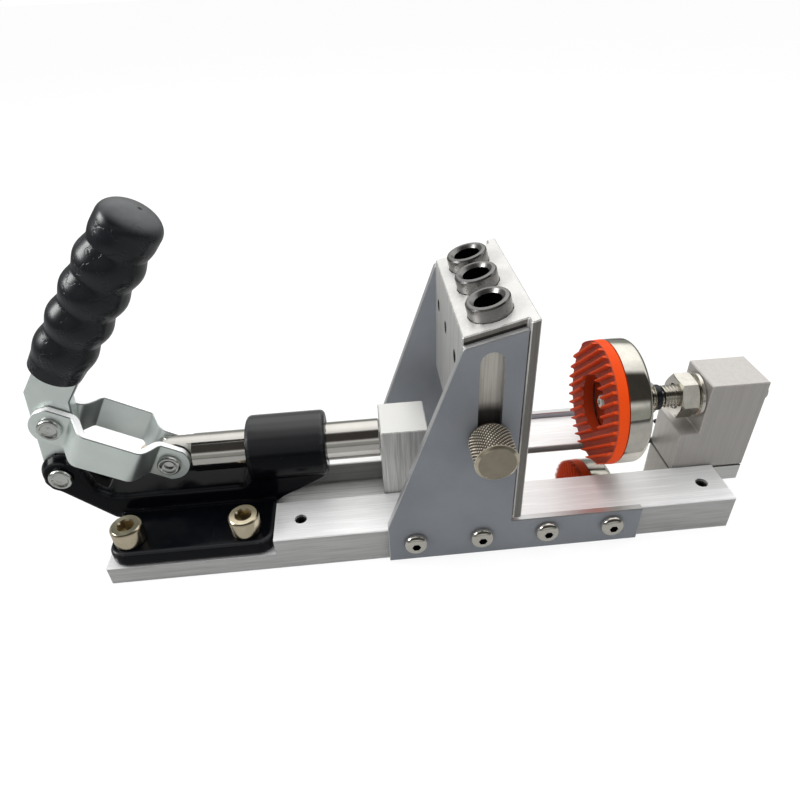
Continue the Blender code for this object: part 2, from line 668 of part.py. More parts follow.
def make_rivet(name, centre, span_half, parent=None):
    """A rivet along Y whose two heads sit on faces span_half from the middle."""
    seat = span_half + SEAT_GAP
    end = seat + RIVET_HEAD_HEIGHT
    head = RIVET_HEAD_RADIUS
    crown = head * RIVET_CROWN
    edge = (seat + end) / 2
    profile = [(-end, 0), (-end, crown), (-edge, head), (-seat, head), (-seat, RIVET_RADIUS),
               (seat, RIVET_RADIUS), (seat, head), (edge, head), (end, crown), (end, 0)]
    return turned(name, profile, centre, (0, 1, 0), zinc, SMALL_STEPS, origin=centre, parent=parent)


def side_point(point):
    return (point.x, point.z)


def make_handle_bar(parent):
    half = BAR_WIDTH / 2
    bend_side = (CRANK_SIDE + Vector((math.cos(GRIP_TILT), 0, -math.sin(GRIP_TILT)))).normalized()
    bend_half = half / math.cos((GRIP_TILT - CRANK_LEAN) / 2)
    grip_side = Vector((math.cos(GRIP_TILT), 0, -math.sin(GRIP_TILT)))
    neck_end = BEND + GRIP_UP * (GRIP_START + GRIP_NECK)
    neck_half = GRIP_GROOVE_RADIUS * GRIP_NECK_SHARE
    tail = EAR_PIVOT - CRANK_UP * BAR_TAIL
    outline = [
        tail + CRANK_SIDE * (half - 0.0035),
        tail + CRANK_SIDE * half + CRANK_UP * 0.0035,
        BEND + bend_side * bend_half,
        BEND + grip_side * half + GRIP_UP * (GRIP_START - 2 * SEAT_GAP),
        BEND + grip_side * neck_half + GRIP_UP * (GRIP_START - 2 * SEAT_GAP),
        neck_end + grip_side * neck_half,
        neck_end - grip_side * neck_half,
        BEND - grip_side * neck_half + GRIP_UP * (GRIP_START - 2 * SEAT_GAP),
        BEND - grip_side * half + GRIP_UP * (GRIP_START - 2 * SEAT_GAP),
        BEND - bend_side * bend_half,
        tail - CRANK_SIDE * half + CRANK_UP * 0.0035,
        tail - CRANK_SIDE * (half - 0.0035),
    ]
    points = [side_point(point) for point in outline]
    bar = side_profile("handle_bar", points, -BAR_THICKNESS / 2, BAR_THICKNESS / 2, zinc,
                       origin=CRANK_PIVOT, parent=parent)
    break_edges(bar, 0.0005)
    closed = EAR_PIVOT + CRANK_UP * BAR_FORK_ABOVE
    width = BAR_FORK_HALF
    low = EAR_PIVOT - CRANK_UP * (BAR_TAIL + CUT_OVER)
    fork = [side_point(low + CRANK_SIDE * width), side_point(closed + CRANK_SIDE * width - CRANK_UP * 0.003),
            side_point(closed + CRANK_SIDE * (width - 0.003)), side_point(closed - CRANK_SIDE * (width - 0.003)),
            side_point(closed - CRANK_SIDE * width - CRANK_UP * 0.003), side_point(low - CRANK_SIDE * width)]
    cut(bar, side_profile("bar_fork", fork, -BAR_THICKNESS, BAR_THICKNESS))
    hole = rod("bar_crank_hole", RIVET_RADIUS + SEAT_GAP, CRANK_PIVOT - Vector((0, BAR_THICKNESS, 0)), (0, 1, 0),
               2 * BAR_THICKNESS)
    return cut(bar, hole)


def link_path():
    """Middle line of a link as (distance along, distance out from the tabs)."""
    slant_start = LINK_FLAT
    bulge_start = slant_start + LINK_SLANT
    bulge_end = bulge_start + LINK_BULGE
    slant_end = bulge_end + LINK_SLANT
    return [(0, 0), (slant_start, 0), (bulge_start, LINK_STANDOUT), (bulge_end, LINK_STANDOUT),
            (slant_end, 0), (LINK_LENGTH, 0)]


def make_link(name, side, parent):
    """A bent strip with round tab ends, cut from a tab outline by its folded section."""
    across = Vector((-LINK_DIRECTION.z, 0, LINK_DIRECTION.x))
    half = LINK_WIDTH / 2
    middle = TAB_INNER + LINK_THICKNESS / 2
    path = [(-half - CUT_OVER, 0)] + link_path()[1:-1] + [(LINK_LENGTH + half + CUT_OVER, 0)]
    directions = [Vector((b[0] - a[0], b[1] - a[1])).normalized() for a, b in zip(path, path[1:])]
    inner, outer = [], []
    for i, (along, out) in enumerate(path):
        before = directions[max(i - 1, 0)]
        after = directions[min(i, len(directions) - 1)]
        bisector = (before + after).normalized()
        normal = Vector((-bisector.y, bisector.x))
        reach = LINK_THICKNESS / 2 / bisector.dot(before)
        inner.append((along - normal.x * reach, out - normal.y * reach))
        outer.append((along + normal.x * reach, out + normal.y * reach))
    section = inner + outer[::-1]
    shape = bmesh.new()
    corners = []
    for along, out in section:
        place = CRANK_PIVOT + LINK_DIRECTION * along - across * (half + CUT_OVER)
        corners.append(shape.verts.new((place.x, side * (middle + out), place.z)))
    face = shape.faces.new(corners)
    grown = bmesh.ops.extrude_face_region(shape, geom=[face])
    moved = [item for item in grown["geom"] if isinstance(item, bmesh.types.BMVert)]
    bmesh.ops.translate(shape, verts=moved, vec=across * 2 * (half + CUT_OVER))
    link = make_object(name, shape, zinc, origin=PLUNGER_PIN, parent=parent)
    angle = math.degrees(math.atan2(LINK_DIRECTION.z, LINK_DIRECTION.x))
    outline = (arc((CRANK_PIVOT.x, CRANK_PIVOT.z), half, angle + 90, angle + 270, 10)
               + arc((PLUNGER_PIN.x, PLUNGER_PIN.z), half, angle + 270, angle + 450, 10))
    tab = side_profile(name + "_outline", outline, -0.03, 0.03)
    combine(link, tab, "INTERSECT")
    break_edges(link, 0.0003)
    for pin, label in ((CRANK_PIVOT, "crank"), (PLUNGER_PIN, "plunger")):
        hole = rod(f"{name}_{label}_hole", RIVET_RADIUS + SEAT_GAP, (pin.x, side * 0.001, pin.z), (0, side, 0), 0.012)
        cut(link, hole)
    return link


def make_plunger(parent):
    pin_x = PLUNGER_PIN.x
    tip = pin_x - LINK_WIDTH / 2
    shoulder = pin_x + LINK_WIDTH / 2 + 0.002
    end = PUSH_X - SEAT_GAP
    spigot_end = end + SPIGOT_LENGTH
    profile = [(tip, 0), (tip, PLUNGER_RADIUS - 0.0012), (tip + 0.0012, PLUNGER_RADIUS),
               (end, PLUNGER_RADIUS), (end, SPIGOT_RADIUS), (spigot_end, SPIGOT_RADIUS), (spigot_end, 0)]
    plunger = turned("plunger", profile, (0, 0, PLUNGER_HEIGHT), (1, 0, 0), zinc, parent=parent,
                     origin=Vector((pin_x, 0, PLUNGER_HEIGHT)))
    for side in (-1, 1):
        low, high = sorted((side * TANG_HALF, side * 2 * PLUNGER_RADIUS))
        flat = box(f"tang_flat_{side}", (tip - CUT_OVER, low, 0), (shoulder, high, 2 * PLUNGER_HEIGHT))
        cut(plunger, flat)
    nose_cut = side_profile("tang_nose",
                            [(tip - CUT_OVER, PLUNGER_HEIGHT - 0.012)]
                            + arc((pin_x, PLUNGER_HEIGHT), PLUNGER_RADIUS - 0.0003, 250, 110, 16)
                            + [(tip - CUT_OVER, PLUNGER_HEIGHT + 0.012)],
                            -0.01, 0.01)
    hole = rod("tang_hole", RIVET_RADIUS + SEAT_GAP, (pin_x, -0.01, PLUNGER_HEIGHT), (0, 1, 0), 0.02)
    return cut(plunger, nose_cut, hole)


def grip_radius(along):
    """Radius of the grip at a distance from its collar: round ridges between a collar and a domed head."""
    head_start = GRIP_LENGTH - GRIP_HEAD_LENGTH
    dome_start = GRIP_LENGTH - GRIP_HEAD_RADIUS * 0.62
    if along < GRIP_FIRST_RIDGE - GRIP_RIDGE_PITCH / 2:
        return GRIP_COLLAR_RADIUS
    middle = (GRIP_RIDGE_RADIUS + GRIP_GROOVE_RADIUS) / 2
    swing = (GRIP_RIDGE_RADIUS - GRIP_GROOVE_RADIUS) / 2
    if along > dome_start:
        share = (along - dome_start) / (GRIP_LENGTH - dome_start)
        return GRIP_HEAD_RADIUS * math.sqrt(max(0, 1 - share ** 2))
    if along > head_start:
        return GRIP_HEAD_RADIUS
    wave = math.cos(2 * math.pi * (along - GRIP_FIRST_RIDGE) / GRIP_RIDGE_PITCH)
    taper = 0.0004 * (along / GRIP_LENGTH - 0.5)
    return middle + taper + swing * wave


def make_grip(parent):
    """A dipped vinyl sleeve that leans a little away from the bar towards its head."""
    side = Vector((math.cos(GRIP_TILT), 0, -math.sin(GRIP_TILT)))
    start = BEND + GRIP_UP * GRIP_START
    shape = bmesh.new()
    steps = 16
    rows = 30
    rings = []
    for row in range(rows + 1):
        share = row / rows
        along = GRIP_LENGTH * (1 - (1 - share) ** 1.25)
        radius = max(grip_radius(along), 0.0)
        bow = GRIP_BOW * (along / GRIP_LENGTH) ** 1.3 - 0.001
        middle = start + GRIP_UP * along + side * bow
        if row == rows:
            rings.append([shape.verts.new(middle)])
            continue
        ring_points = []
        for i in range(steps):
            angle = 2 * math.pi * i / steps
            offset = side * math.cos(angle) + Vector((0, 1, 0)) * math.sin(angle)
            ring_points.append(shape.verts.new(middle + offset * radius))
        rings.append(ring_points)
    for first, second in zip(rings, rings[1:]):
        for i in range(steps):
            j = (i + 1) % steps
            corners = [first[i], first[j], second[j % len(second)], second[i % len(second)]]
            shape.faces.new(list(dict.fromkeys(corners)))
    shape.faces.new(rings[0])
    grip = make_object("handle_grip", shape, black_vinyl, origin=CRANK_PIVOT, parent=parent)
    neck_half = GRIP_GROOVE_RADIUS * GRIP_NECK_SHARE + SEAT_GAP
    pocket_end = start + GRIP_UP * (GRIP_NECK + SEAT_GAP)
    pocket = [start - GRIP_UP * CUT_OVER + side * neck_half, pocket_end + side * neck_half,
              pocket_end - side * neck_half, start - GRIP_UP * CUT_OVER - side * neck_half]
    socket = side_profile("grip_socket", [side_point(point) for point in pocket], -TAB_INNER, TAB_INNER)
    cut(grip, socket)
    return shade_round(grip, 50)


# Guide block

def make_guide_block(parent):
    left, step, face = BLOCK_X, FLANGE_X, FLANGE_FACE
    slope = math.tan(TOP_SLOPE)
    step_top = BLOCK_TOP + (step - left) * slope
    face_top = BLOCK_TOP + (face - left) * slope
    shape = bmesh.new()

    def corner(x, y, z):
        return shape.verts.new((x, y, z))

    wide, narrow = FLANGE_HALF, BLOCK_HALF
    f0, f1 = corner(step, -wide, FLANGE_BOTTOM), corner(face, -wide, FLANGE_BOTTOM)
    f2, f3 = corner(face, wide, FLANGE_BOTTOM), corner(step, wide, FLANGE_BOTTOM)
    g0, g1 = corner(step, -wide, step_top), corner(face, -wide, face_top)
    g2, g3 = corner(face, wide, face_top), corner(step, wide, step_top)
    b0, b1 = corner(left, -narrow, BLOCK_BOTTOM), corner(step, -narrow, BLOCK_BOTTOM)
    b2, b3 = corner(step, narrow, BLOCK_BOTTOM), corner(left, narrow, BLOCK_BOTTOM)
    t0, t1 = corner(left, -narrow, BLOCK_TOP), corner(step, -narrow, step_top)
    t2, t3 = corner(step, narrow, step_top), corner(left, narrow, BLOCK_TOP)
    for loop in ((f0, f1, f2, f3), (f1, f2, g2, g1), (f0, f1, g1, g0), (f2, f3, g3, g2),
                 (f0, f3, g3, t2, b2, b1, t1, g0), (b0, b1, b2, b3), (b0, b3, t3, t0),
                 (b0, b1, t1, t0), (b3, b2, t2, t3), (t0, t1, g0, g1, g2, g3, t2, t3)):
        shape.faces.new(loop)
    block = make_object("guide_block", shape, brushed_aluminium, parent=parent)
    break_edges(block)
    for i, y in enumerate(BUSHING_PLACES):
        top = bushing_top(y)
        down = -bushing_up()
        seat = rod(f"bushing_seat_{i + 1}", BUSHING_RADIUS + SEAT_GAP, top - down * CUT_OVER, down,
                   BUSHING_DEPTH + SEAT_GAP + CUT_OVER, BOLT_STEPS)
        bore = rod(f"drill_bore_{i + 1}", BUSHING_BORE_RADIUS + DRILL_PLAY, top - down * CUT_OVER, down,
                   (face - top.x + 2 * BUSHING_BORE_RADIUS) / math.sin(TOP_SLOPE), BOLT_STEPS)
        grub = rod(f"grub_hole_{i + 1}", GRUB_RADIUS + SEAT_GAP, (left - CUT_OVER, y + GRUB_SHIFT, GRUB_Z),
                   (1, 0, 0), grub_end(y) + GRUB_RADIUS - left + CUT_OVER, SMALL_STEPS)
        cut(block, seat, bore, grub)
    thumb_hole = rod("thumb_hole", THUMB_SHANK_RADIUS + SEAT_GAP, (THUMB_X, -BLOCK_HALF - CUT_OVER, THUMB_HEIGHT),
                     (0, 1, 0), THUMB_SHANK_LENGTH - PLATE_THICKNESS + CUT_OVER)
    cut(block, thumb_hole)
    return block


def bushing_up():
    return Vector((-math.sin(TOP_SLOPE), 0, math.cos(TOP_SLOPE)))


def bushing_top(y):
    """Where a bushing's axis meets the block's sloped top."""
    return Vector((BLOCK_X + BUSHING_FROM_LEFT, y, BLOCK_TOP + BUSHING_FROM_LEFT * math.tan(TOP_SLOPE)))


def make_bushings(parent):
    length = BUSHING_DEPTH + BUSHING_STANDOUT
    outer = [(0, BUSHING_RADIUS - 0.0005), (0.0005, BUSHING_RADIUS), (length - 0.0008, BUSHING_RADIUS),
             (length, BUSHING_RADIUS - 0.0008)]
    inner = [(0, BUSHING_BORE_RADIUS), (length - 0.0012, BUSHING_BORE_RADIUS),
             (length, BUSHING_BORE_RADIUS + 0.0012)]
    for i, y in enumerate(BUSHING_PLACES):
        bottom = bushing_top(y) - bushing_up() * BUSHING_DEPTH
        ring(f"drill_bushing_{i + 1}", outer, inner, bottom, bushing_up(), bushing_steel, BOLT_STEPS,
             parent=parent)


def grub_end(y):
    """Where along X a grub screw stops, just short of its bushing."""
    shaft = bushing_top(y) + bushing_up() * ((GRUB_Z - bushing_top(y).z) / bushing_up().z)
    nearest = shaft.x - BUSHING_RADIUS / math.cos(TOP_SLOPE)
    return nearest - GRUB_RADIUS * math.tan(TOP_SLOPE) - SEAT_GAP


def make_grubs(parent):
    for i, y in enumerate(BUSHING_PLACES):
        start = Vector((BLOCK_X + GRUB_SINK, y + GRUB_SHIFT, GRUB_Z))
        grub = rod(f"bushing_grub_{i + 1}", GRUB_RADIUS, start, (1, 0, 0), grub_end(y) - start.x, SMALL_STEPS,
                   dark_steel, parent=parent)
        cut(grub, hex_socket(f"grub_socket_{i + 1}", 0.002, start, (1, 0, 0), 0.0008))


def make_thumb_screw(parent):
    seat = PLATE_OUTER + SEAT_GAP
    knob = THUMB_KNOB_LENGTH
    radius = THUMB_KNOB_RADIUS
    profile = [(-knob, 0), (-knob, radius - 0.0008), (-knob + 0.0008, radius), (-0.0025, radius),
               (-0.0018, radius - 0.0008), (0, radius - 0.0016), (0, THUMB_SHANK_RADIUS),
               (THUMB_SHANK_LENGTH - 0.0008, THUMB_SHANK_RADIUS), (THUMB_SHANK_LENGTH, THUMB_SHANK_RADIUS - 0.0008),
               (THUMB_SHANK_LENGTH, 0)]
    start = Vector((THUMB_X, -seat, THUMB_HEIGHT))
    return turned("thumb_screw", profile, start, (0, 1, 0), bright_nickel, BOLT_STEPS, parent=parent, origin=start)


# Sliding carriage

def make_slider_bar(parent):
    bar = box("slider_bar", (PUSH_X, -SLIDER_HALF, SLIDER_BOTTOM), (SLIDER_END, SLIDER_HALF, SLIDER_TOP),
              brushed_aluminium, parent=parent)
    break_edges(bar)
    for i, x in enumerate(carriage_screw_xs()):
        place = Vector((x, 0, SLIDER_BOTTOM))
        sink = turned(f"slider_sink_{i + 1}", carriage_screw_profile(SEAT_GAP, CUT_OVER), place, (0, 0, 1),
                      steps=SMALL_STEPS)
        cut(bar, sink)
    return bar


def carriage_screw_xs():
    push = PUSH_X + PUSH_BLOCK_DEPTH / 2
    step = STOP_X - STOP_STEP_DEPTH / 2 + CARRIAGE_SCREW_RADIUS
    last = SLIDER_END - 2 * CARRIAGE_SCREW_RADIUS
    return (push, step, last)


def carriage_screw_profile(play, over):
    """A countersunk screw from the slider's underside, or its hole with some play."""
    head = CARRIAGE_SCREW_HEAD_RADIUS + play
    shank = CARRIAGE_SCREW_RADIUS + play
    cone = CARRIAGE_SCREW_HEAD_RADIUS - CARRIAGE_SCREW_RADIUS
    end = BLOCK_SEAT - SLIDER_BOTTOM + CARRIAGE_SCREW_BITE + play
    flat = SEAT_GAP - play
    return [(flat - over, 0), (flat - over, head), (flat + play + 0.0004, head),
            (flat + play + 0.0004 + cone, shank), (end, shank), (end, 0)]


def make_carriage_screws(parent):
    names = ("push_block_screw", "stop_block_screw_1", "stop_block_screw_2")
    for name, x in zip(names, carriage_screw_xs()):
        place = Vector((x, 0, SLIDER_BOTTOM))
        screw = turned(name, carriage_screw_profile(0, 0), place, (0, 0, 1), dark_steel, SMALL_STEPS, parent=parent)
        cut(screw, hex_socket(name + "_socket", 0.004, place + Vector((0, 0, SEAT_GAP)), (0, 0, 1), 0.0025))


def carriage_screw_hole(name, x):
    return rod(name, CARRIAGE_SCREW_RADIUS + SEAT_GAP, (x, 0, BLOCK_SEAT - CUT_OVER), (0, 0, 1),
               CARRIAGE_SCREW_BITE + SEAT_GAP + CUT_OVER)


def make_push_block(parent):
    block = box("push_block", (PUSH_X, -SLIDER_HALF, BLOCK_SEAT),
                (PUSH_X + PUSH_BLOCK_DEPTH, SLIDER_HALF, PUSH_BLOCK_TOP), brushed_aluminium, parent=parent)
    break_edges(block)
    spigot = rod("push_block_bore", SPIGOT_RADIUS + SEAT_GAP, (PUSH_X - CUT_OVER, 0, PLUNGER_HEIGHT), (1, 0, 0),
                 SPIGOT_LENGTH + CUT_OVER, ROUND_STEPS)
    return cut(block, spigot, carriage_screw_hole("push_block_thread", carriage_screw_xs()[0]))


def make_stop_block(parent):
    step_x = STOP_X - STOP_STEP_DEPTH
    step_top = STUD_HEIGHT - WASHER_RADIUS - STOP_STEP_CLEARANCE
    outline = [
        (step_x, BLOCK_SEAT),
        (SLIDER_END, BLOCK_SEAT),
        (SLIDER_END, STUD_HEIGHT + STOP_ABOVE_STUD),
        (STOP_X, STUD_HEIGHT + STOP_ABOVE_STUD),
        (STOP_X, step_top),
        (step_x, step_top),
    ]
    block = side_profile("stop_block", outline, -SLIDER_HALF, SLIDER_HALF, brushed_aluminium, parent=parent)
    break_edges(block)
    bore = rod("stud_bore", STUD_RADIUS + SEAT_GAP, (STOP_X - CUT_OVER, 0, STUD_HEIGHT), (1, 0, 0),
               STOP_DEPTH + 2 * CUT_OVER, BOLT_STEPS)
    holes = [carriage_screw_hole(f"stop_block_thread_{i}", x) for i, x in enumerate(carriage_screw_xs()[1:])]
    return cut(block, bore, *holes)


# Pad, stud and nut

def make_stud(parent):
    thread_start = NECK_X + NECK_LENGTH + SEAT_GAP
    spigot_start = thread_start - STUD_SPIGOT_LENGTH
    end = SLIDER_END + STUD_STANDOUT
    profile = [(spigot_start, 0), (spigot_start, STUD_SPIGOT_RADIUS), (thread_start, STUD_SPIGOT_RADIUS),
               (thread_start, STUD_RADIUS - 0.0006), (thread_start + 0.0006, STUD_RADIUS),
               (end - 0.0008, STUD_RADIUS), (end, STUD_RADIUS - 0.0008), (end, 0)]
    stud = turned("stud", profile, (0, 0, STUD_HEIGHT), (1, 0, 0), bright_nickel, BOLT_STEPS, parent=parent,
                  origin=Vector((spigot_start, 0, STUD_HEIGHT)))
    return cut(stud, hex_socket("stud_socket", 0.005, (end, 0, STUD_HEIGHT), (-1, 0, 0), 0.005))


def make_neck_ring(parent):
    inner = STUD_SPIGOT_RADIUS + SEAT_GAP
    outer = [(0, NECK_RADIUS - 0.0005), (0.0005, NECK_RADIUS), (NECK_LENGTH - 0.0005, NECK_RADIUS),
             (NECK_LENGTH, NECK_RADIUS - 0.0005)]
    return ring("neck_ring", outer, [(0, inner), (NECK_LENGTH, inner)], (NECK_X, 0, STUD_HEIGHT), (1, 0, 0),
                black_vinyl, BOLT_STEPS, parent=parent)


def make_lock_nut(parent):
    corner = NUT_ACROSS_FLATS / math.sqrt(3)
    start = Vector((NUT_X, 0, STUD_HEIGHT))
    nut = rod("lock_nut", corner, start, (1, 0, 0), NUT_THICKNESS, 6, bright_nickel, parent=parent, origin=start)
    flats = NUT_ACROSS_FLATS / 2
    depth = (corner - flats) * math.tan(math.radians(30))
    rounding = turned("nut_rounding",
                      [(0, 0), (0, flats - 0.0002), (depth, corner), (NUT_THICKNESS - depth, corner),
                       (NUT_THICKNESS, flats - 0.0002), (NUT_THICKNESS, 0)], start, (1, 0, 0),
                      steps=BOLT_STEPS)
    combine(nut, rounding, "INTERSECT")
    hole = rod("nut_hole", STUD_RADIUS + SEAT_GAP, start - Vector((CUT_OVER, 0, 0)), (1, 0, 0),
               NUT_THICKNESS + 2 * CUT_OVER, 18)
    return cut(nut, hole)


def make_washer(parent):
    edge = 0.0002
    outer = [(0, WASHER_RADIUS - edge), (edge, WASHER_RADIUS), (WASHER_THICKNESS - edge, WASHER_RADIUS),
             (WASHER_THICKNESS, WASHER_RADIUS - edge)]
    inner = STUD_RADIUS + SEAT_GAP
    return ring("washer", outer, [(0, inner), (WASHER_THICKNESS, inner)], (WASHER_X, 0, STUD_HEIGHT), (1, 0, 0),
                bright_nickel, BOLT_STEPS, parent=parent)


def make_pad_cup(parent):
    rim = PAD_RADIUS
    profile = [(CUP_FACE, 0), (CUP_FACE, rim)]
    bend = 0.0025
    shoulder = CUP_SHOULDER_X
    profile += [(shoulder - bend + x, rim - bend + r) for x, r in
                [(bend * math.sin(a), bend * math.cos(a)) for a in [math.radians(22.5 * i) for i in range(5)]]]
    profile.append((shoulder, CUP_SHOULDER_RADIUS))
    for i in range(1, 6):
        share = i / 5
        radius = CUP_HUB_RADIUS + (CUP_SHOULDER_RADIUS - CUP_HUB_RADIUS) * (1 - share) ** 1.25
        profile.append((shoulder + (CUP_CONE_DEPTH - 0.0008) * share ** 1.1, radius))
    profile += [(HUB_X, CUP_HUB_RADIUS - 0.0005), (HUB_X, 0)]
    cup = turned("pad_cup", profile, (0, 0, STUD_HEIGHT), (1, 0, 0), bright_nickel, 30, parent=parent)
    bore = rod("cup_bore", STUD_SPIGOT_RADIUS + SEAT_GAP, (HUB_X + CUT_OVER, 0, STUD_HEIGHT), (-1, 0, 0),
               STUD_SPIGOT_LENGTH - NECK_LENGTH + CUT_OVER, BOLT_STEPS)
    thread = rod("cup_screw_hole", PAD_SCREW_SHANK + SEAT_GAP, (CUP_FACE - CUT_OVER, 0, STUD_HEIGHT), (1, 0, 0),
                 PAD_SCREW_LENGTH + SEAT_GAP + CUT_OVER)
    return cut(cup, bore, thread)


def make_pad_screw(parent):
    head = PAD_SCREW_HEAD_HEIGHT
    length = PAD_SCREW_LENGTH
    profile = [*dome(head, PAD_SCREW_RADIUS), (0, PAD_SCREW_RADIUS), (0, PAD_SCREW_SHANK), (length, PAD_SCREW_SHANK),
               (length, 0)]
    start = Vector((CUP_FACE - SEAT_GAP, 0, STUD_HEIGHT))
    screw = turned("pad_screw", profile, start, (1, 0, 0), bright_nickel, SMALL_STEPS, parent=parent)
    return cut(screw, hex_socket("pad_screw_socket", 0.002, start - Vector((head, 0, 0)), (1, 0, 0), 0.001))


def make_grip_pad(parent):
    """A ring of rubber whose front is cut into leaning fins at a slant across its face."""
    outer = [(0, PAD_RADIUS), (FIN_TIP - PAD_BACK, PAD_RADIUS - 0.0005)]
    inner = [(0, PAD_HOLE_RADIUS), (FIN_TIP - PAD_BACK, PAD_HOLE_RADIUS)]
    centre = Vector((PAD_BACK, 0, STUD_HEIGHT))
    pad = make_object("grip_pad", ring_shape([(abs(a), r) for a, r in outer], [(abs(a), r) for a, r in inner],
                                             centre, (-1, 0, 0), 32), orange_rubber, parent=parent)
    shade_round(pad)
    pitch = 2 * PAD_RADIUS / FIN_COUNT
    reach = PAD_RADIUS + CUT_OVER
    front = FIN_TIP - CUT_OVER
    shape = bmesh.new()
    rim = []
    first = -PAD_RADIUS - pitch * 0.5
    for i in range(FIN_COUNT + 2):
        across = first + i * pitch
        rim.append((GROOVE_X, across + pitch * 0.30))
        rim.append((front, across + pitch * 0.62))
        rim.append((front, across + pitch * 0.66))
        rim.append((GROOVE_X, across + pitch * 0.74))
    rim = rim[:-2]
    rim = [(front - CUT_OVER, rim[0][1])] + rim + [(front - CUT_OVER, rim[-1][1])]
    corners = [shape.verts.new((x, -reach, across)) for x, across in rim]
    face = shape.faces.new(corners)
    grown = bmesh.ops.extrude_face_region(shape, geom=[face])
    moved = [item for item in grown["geom"] if isinstance(item, bmesh.types.BMVert)]
    bmesh.ops.translate(shape, verts=moved, vec=(0, 2 * reach, 0))
    turn = Matrix.Translation((0, 0, STUD_HEIGHT)) @ Matrix.Rotation(-FIN_TURN, 4, "X")
    bmesh.ops.transform(shape, verts=shape.verts, matrix=turn)
    grooves = make_object("pad_grooves", shape, None)
    return cut(pad, grooves)


def build():
    clear_scene()
    carriage = body_frame("carriage_body", Vector((PUSH_X, 0, PLUNGER_HEIGHT)))
    links = body_frame("link_body", PLUNGER_PIN)
    handle = body_frame("handle_body", CRANK_PIVOT)
    guide = body_frame("guide_body", Vector((BLOCK_X, 0, THUMB_HEIGHT)))
    pad = body_frame("pad_body", Vector((PAD_BACK, 0, STUD_HEIGHT)))

    make_rail("near_rail", -1)
    make_rail("far_rail", 1)
    make_floor_plate()
    make_rail_screws()
    make_side_plate("near_side_plate", -1)
    make_side_plate("far_side_plate", 1)
    make_plate_screws("near_plate_screw", -1)
    make_plate_screws("far_plate_screw", 1)
    make_clamp_body()
    make_clamp_bolts()
    make_rivet("ear_rivet", EAR_PIVOT, WEB_THICKNESS / 2)
    make_rivet("crank_rivet", CRANK_PIVOT, TAB_OUTER, links)
    make_rivet("plunger_rivet", PLUNGER_PIN, TAB_OUTER, carriage)
    make_handle_bar(handle)
    make_grip(handle)
    make_link("near_link", -1, links)
    make_link("far_link", 1, links)
    make_plunger(carriage)
    make_slider_bar(carriage)
    make_push_block(carriage)
    make_stop_block(carriage)
    make_carriage_screws(carriage)
    make_washer(carriage)
    make_lock_nut(carriage)
    make_stud(pad)
    make_neck_ring(pad)
    make_pad_cup(pad)
    make_grip_pad(pad)
    make_pad_screw(pad)
    make_guide_block(guide)
    make_bushings(guide)
    make_grubs(guide)
    make_thumb_screw(guide)


build()
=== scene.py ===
import json
import math

import bmesh
import bpy
from mathutils import Matrix, Vector


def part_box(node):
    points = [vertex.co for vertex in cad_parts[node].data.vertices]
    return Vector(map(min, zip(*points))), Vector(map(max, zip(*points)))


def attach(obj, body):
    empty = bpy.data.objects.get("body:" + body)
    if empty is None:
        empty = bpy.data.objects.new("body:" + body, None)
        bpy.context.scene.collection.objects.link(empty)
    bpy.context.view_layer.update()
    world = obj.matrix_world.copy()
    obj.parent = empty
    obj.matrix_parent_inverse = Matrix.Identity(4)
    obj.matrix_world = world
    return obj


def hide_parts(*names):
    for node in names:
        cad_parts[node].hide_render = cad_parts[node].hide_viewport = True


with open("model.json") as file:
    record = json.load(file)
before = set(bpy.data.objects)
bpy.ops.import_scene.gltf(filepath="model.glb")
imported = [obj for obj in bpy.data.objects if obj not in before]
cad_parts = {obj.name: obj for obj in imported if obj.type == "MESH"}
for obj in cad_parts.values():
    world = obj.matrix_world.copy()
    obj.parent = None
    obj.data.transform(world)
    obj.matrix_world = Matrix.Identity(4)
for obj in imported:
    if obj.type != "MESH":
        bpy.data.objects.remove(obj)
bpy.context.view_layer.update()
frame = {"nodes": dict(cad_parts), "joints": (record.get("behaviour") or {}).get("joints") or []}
nodes = frame["nodes"]


# Camera, floor and light.
# The jig stands on a white table under a bright ceiling and back wall, seen from
# above its left end with a short lens. Over the front of it the room is dark.
camera_data = bpy.data.cameras.new("photo_camera")
camera_data.sensor_width = 36
camera_data.lens = 27.967
camera_data.clip_start = 0.01
camera = bpy.data.objects.new("photo_camera", camera_data)
camera.location = (-0.0200, -0.2106, 0.2089)
camera.rotation_euler = (math.radians(54.535), math.radians(2.081), math.radians(-5.103))
bpy.context.scene.collection.objects.link(camera)
bpy.context.scene.camera = camera


def soft_lamp(name, place, target, size, power, mirrored=False):
    """A square softbox that faces a point on the jig, and shows in mirrors only if mirrored."""
    light = bpy.data.lights.new(name, "AREA")
    light.shape = "SQUARE"
    light.size = size
    light.energy = power
    lamp = bpy.data.objects.new(name, light)
    lamp.location = place
    lamp.rotation_euler = (Vector(target) - Vector(place)).to_track_quat("-Z", "Y").to_euler()
    bpy.context.scene.collection.objects.link(lamp)
    lamp.visible_glossy = mirrored


soft_lamp("ceiling_box", (0.05, 0.15, 0.95), (0, 0, 0), 0.9, 6.8)
soft_lamp("left_box", (-0.82, 0.00, 0.52), (-0.05, 0, 0.04), 0.35, 5.0, mirrored=True)
soft_lamp("back_box", (0.55, 0.75, 0.45), (0, 0, 0.05), 0.5, 2.0)

world = bpy.data.worlds.new("white_studio")
world.use_nodes = True
bpy.context.scene.world = world
bpy.context.scene.view_settings.view_transform = "Standard"
sky = world.node_tree
sky.nodes.clear()


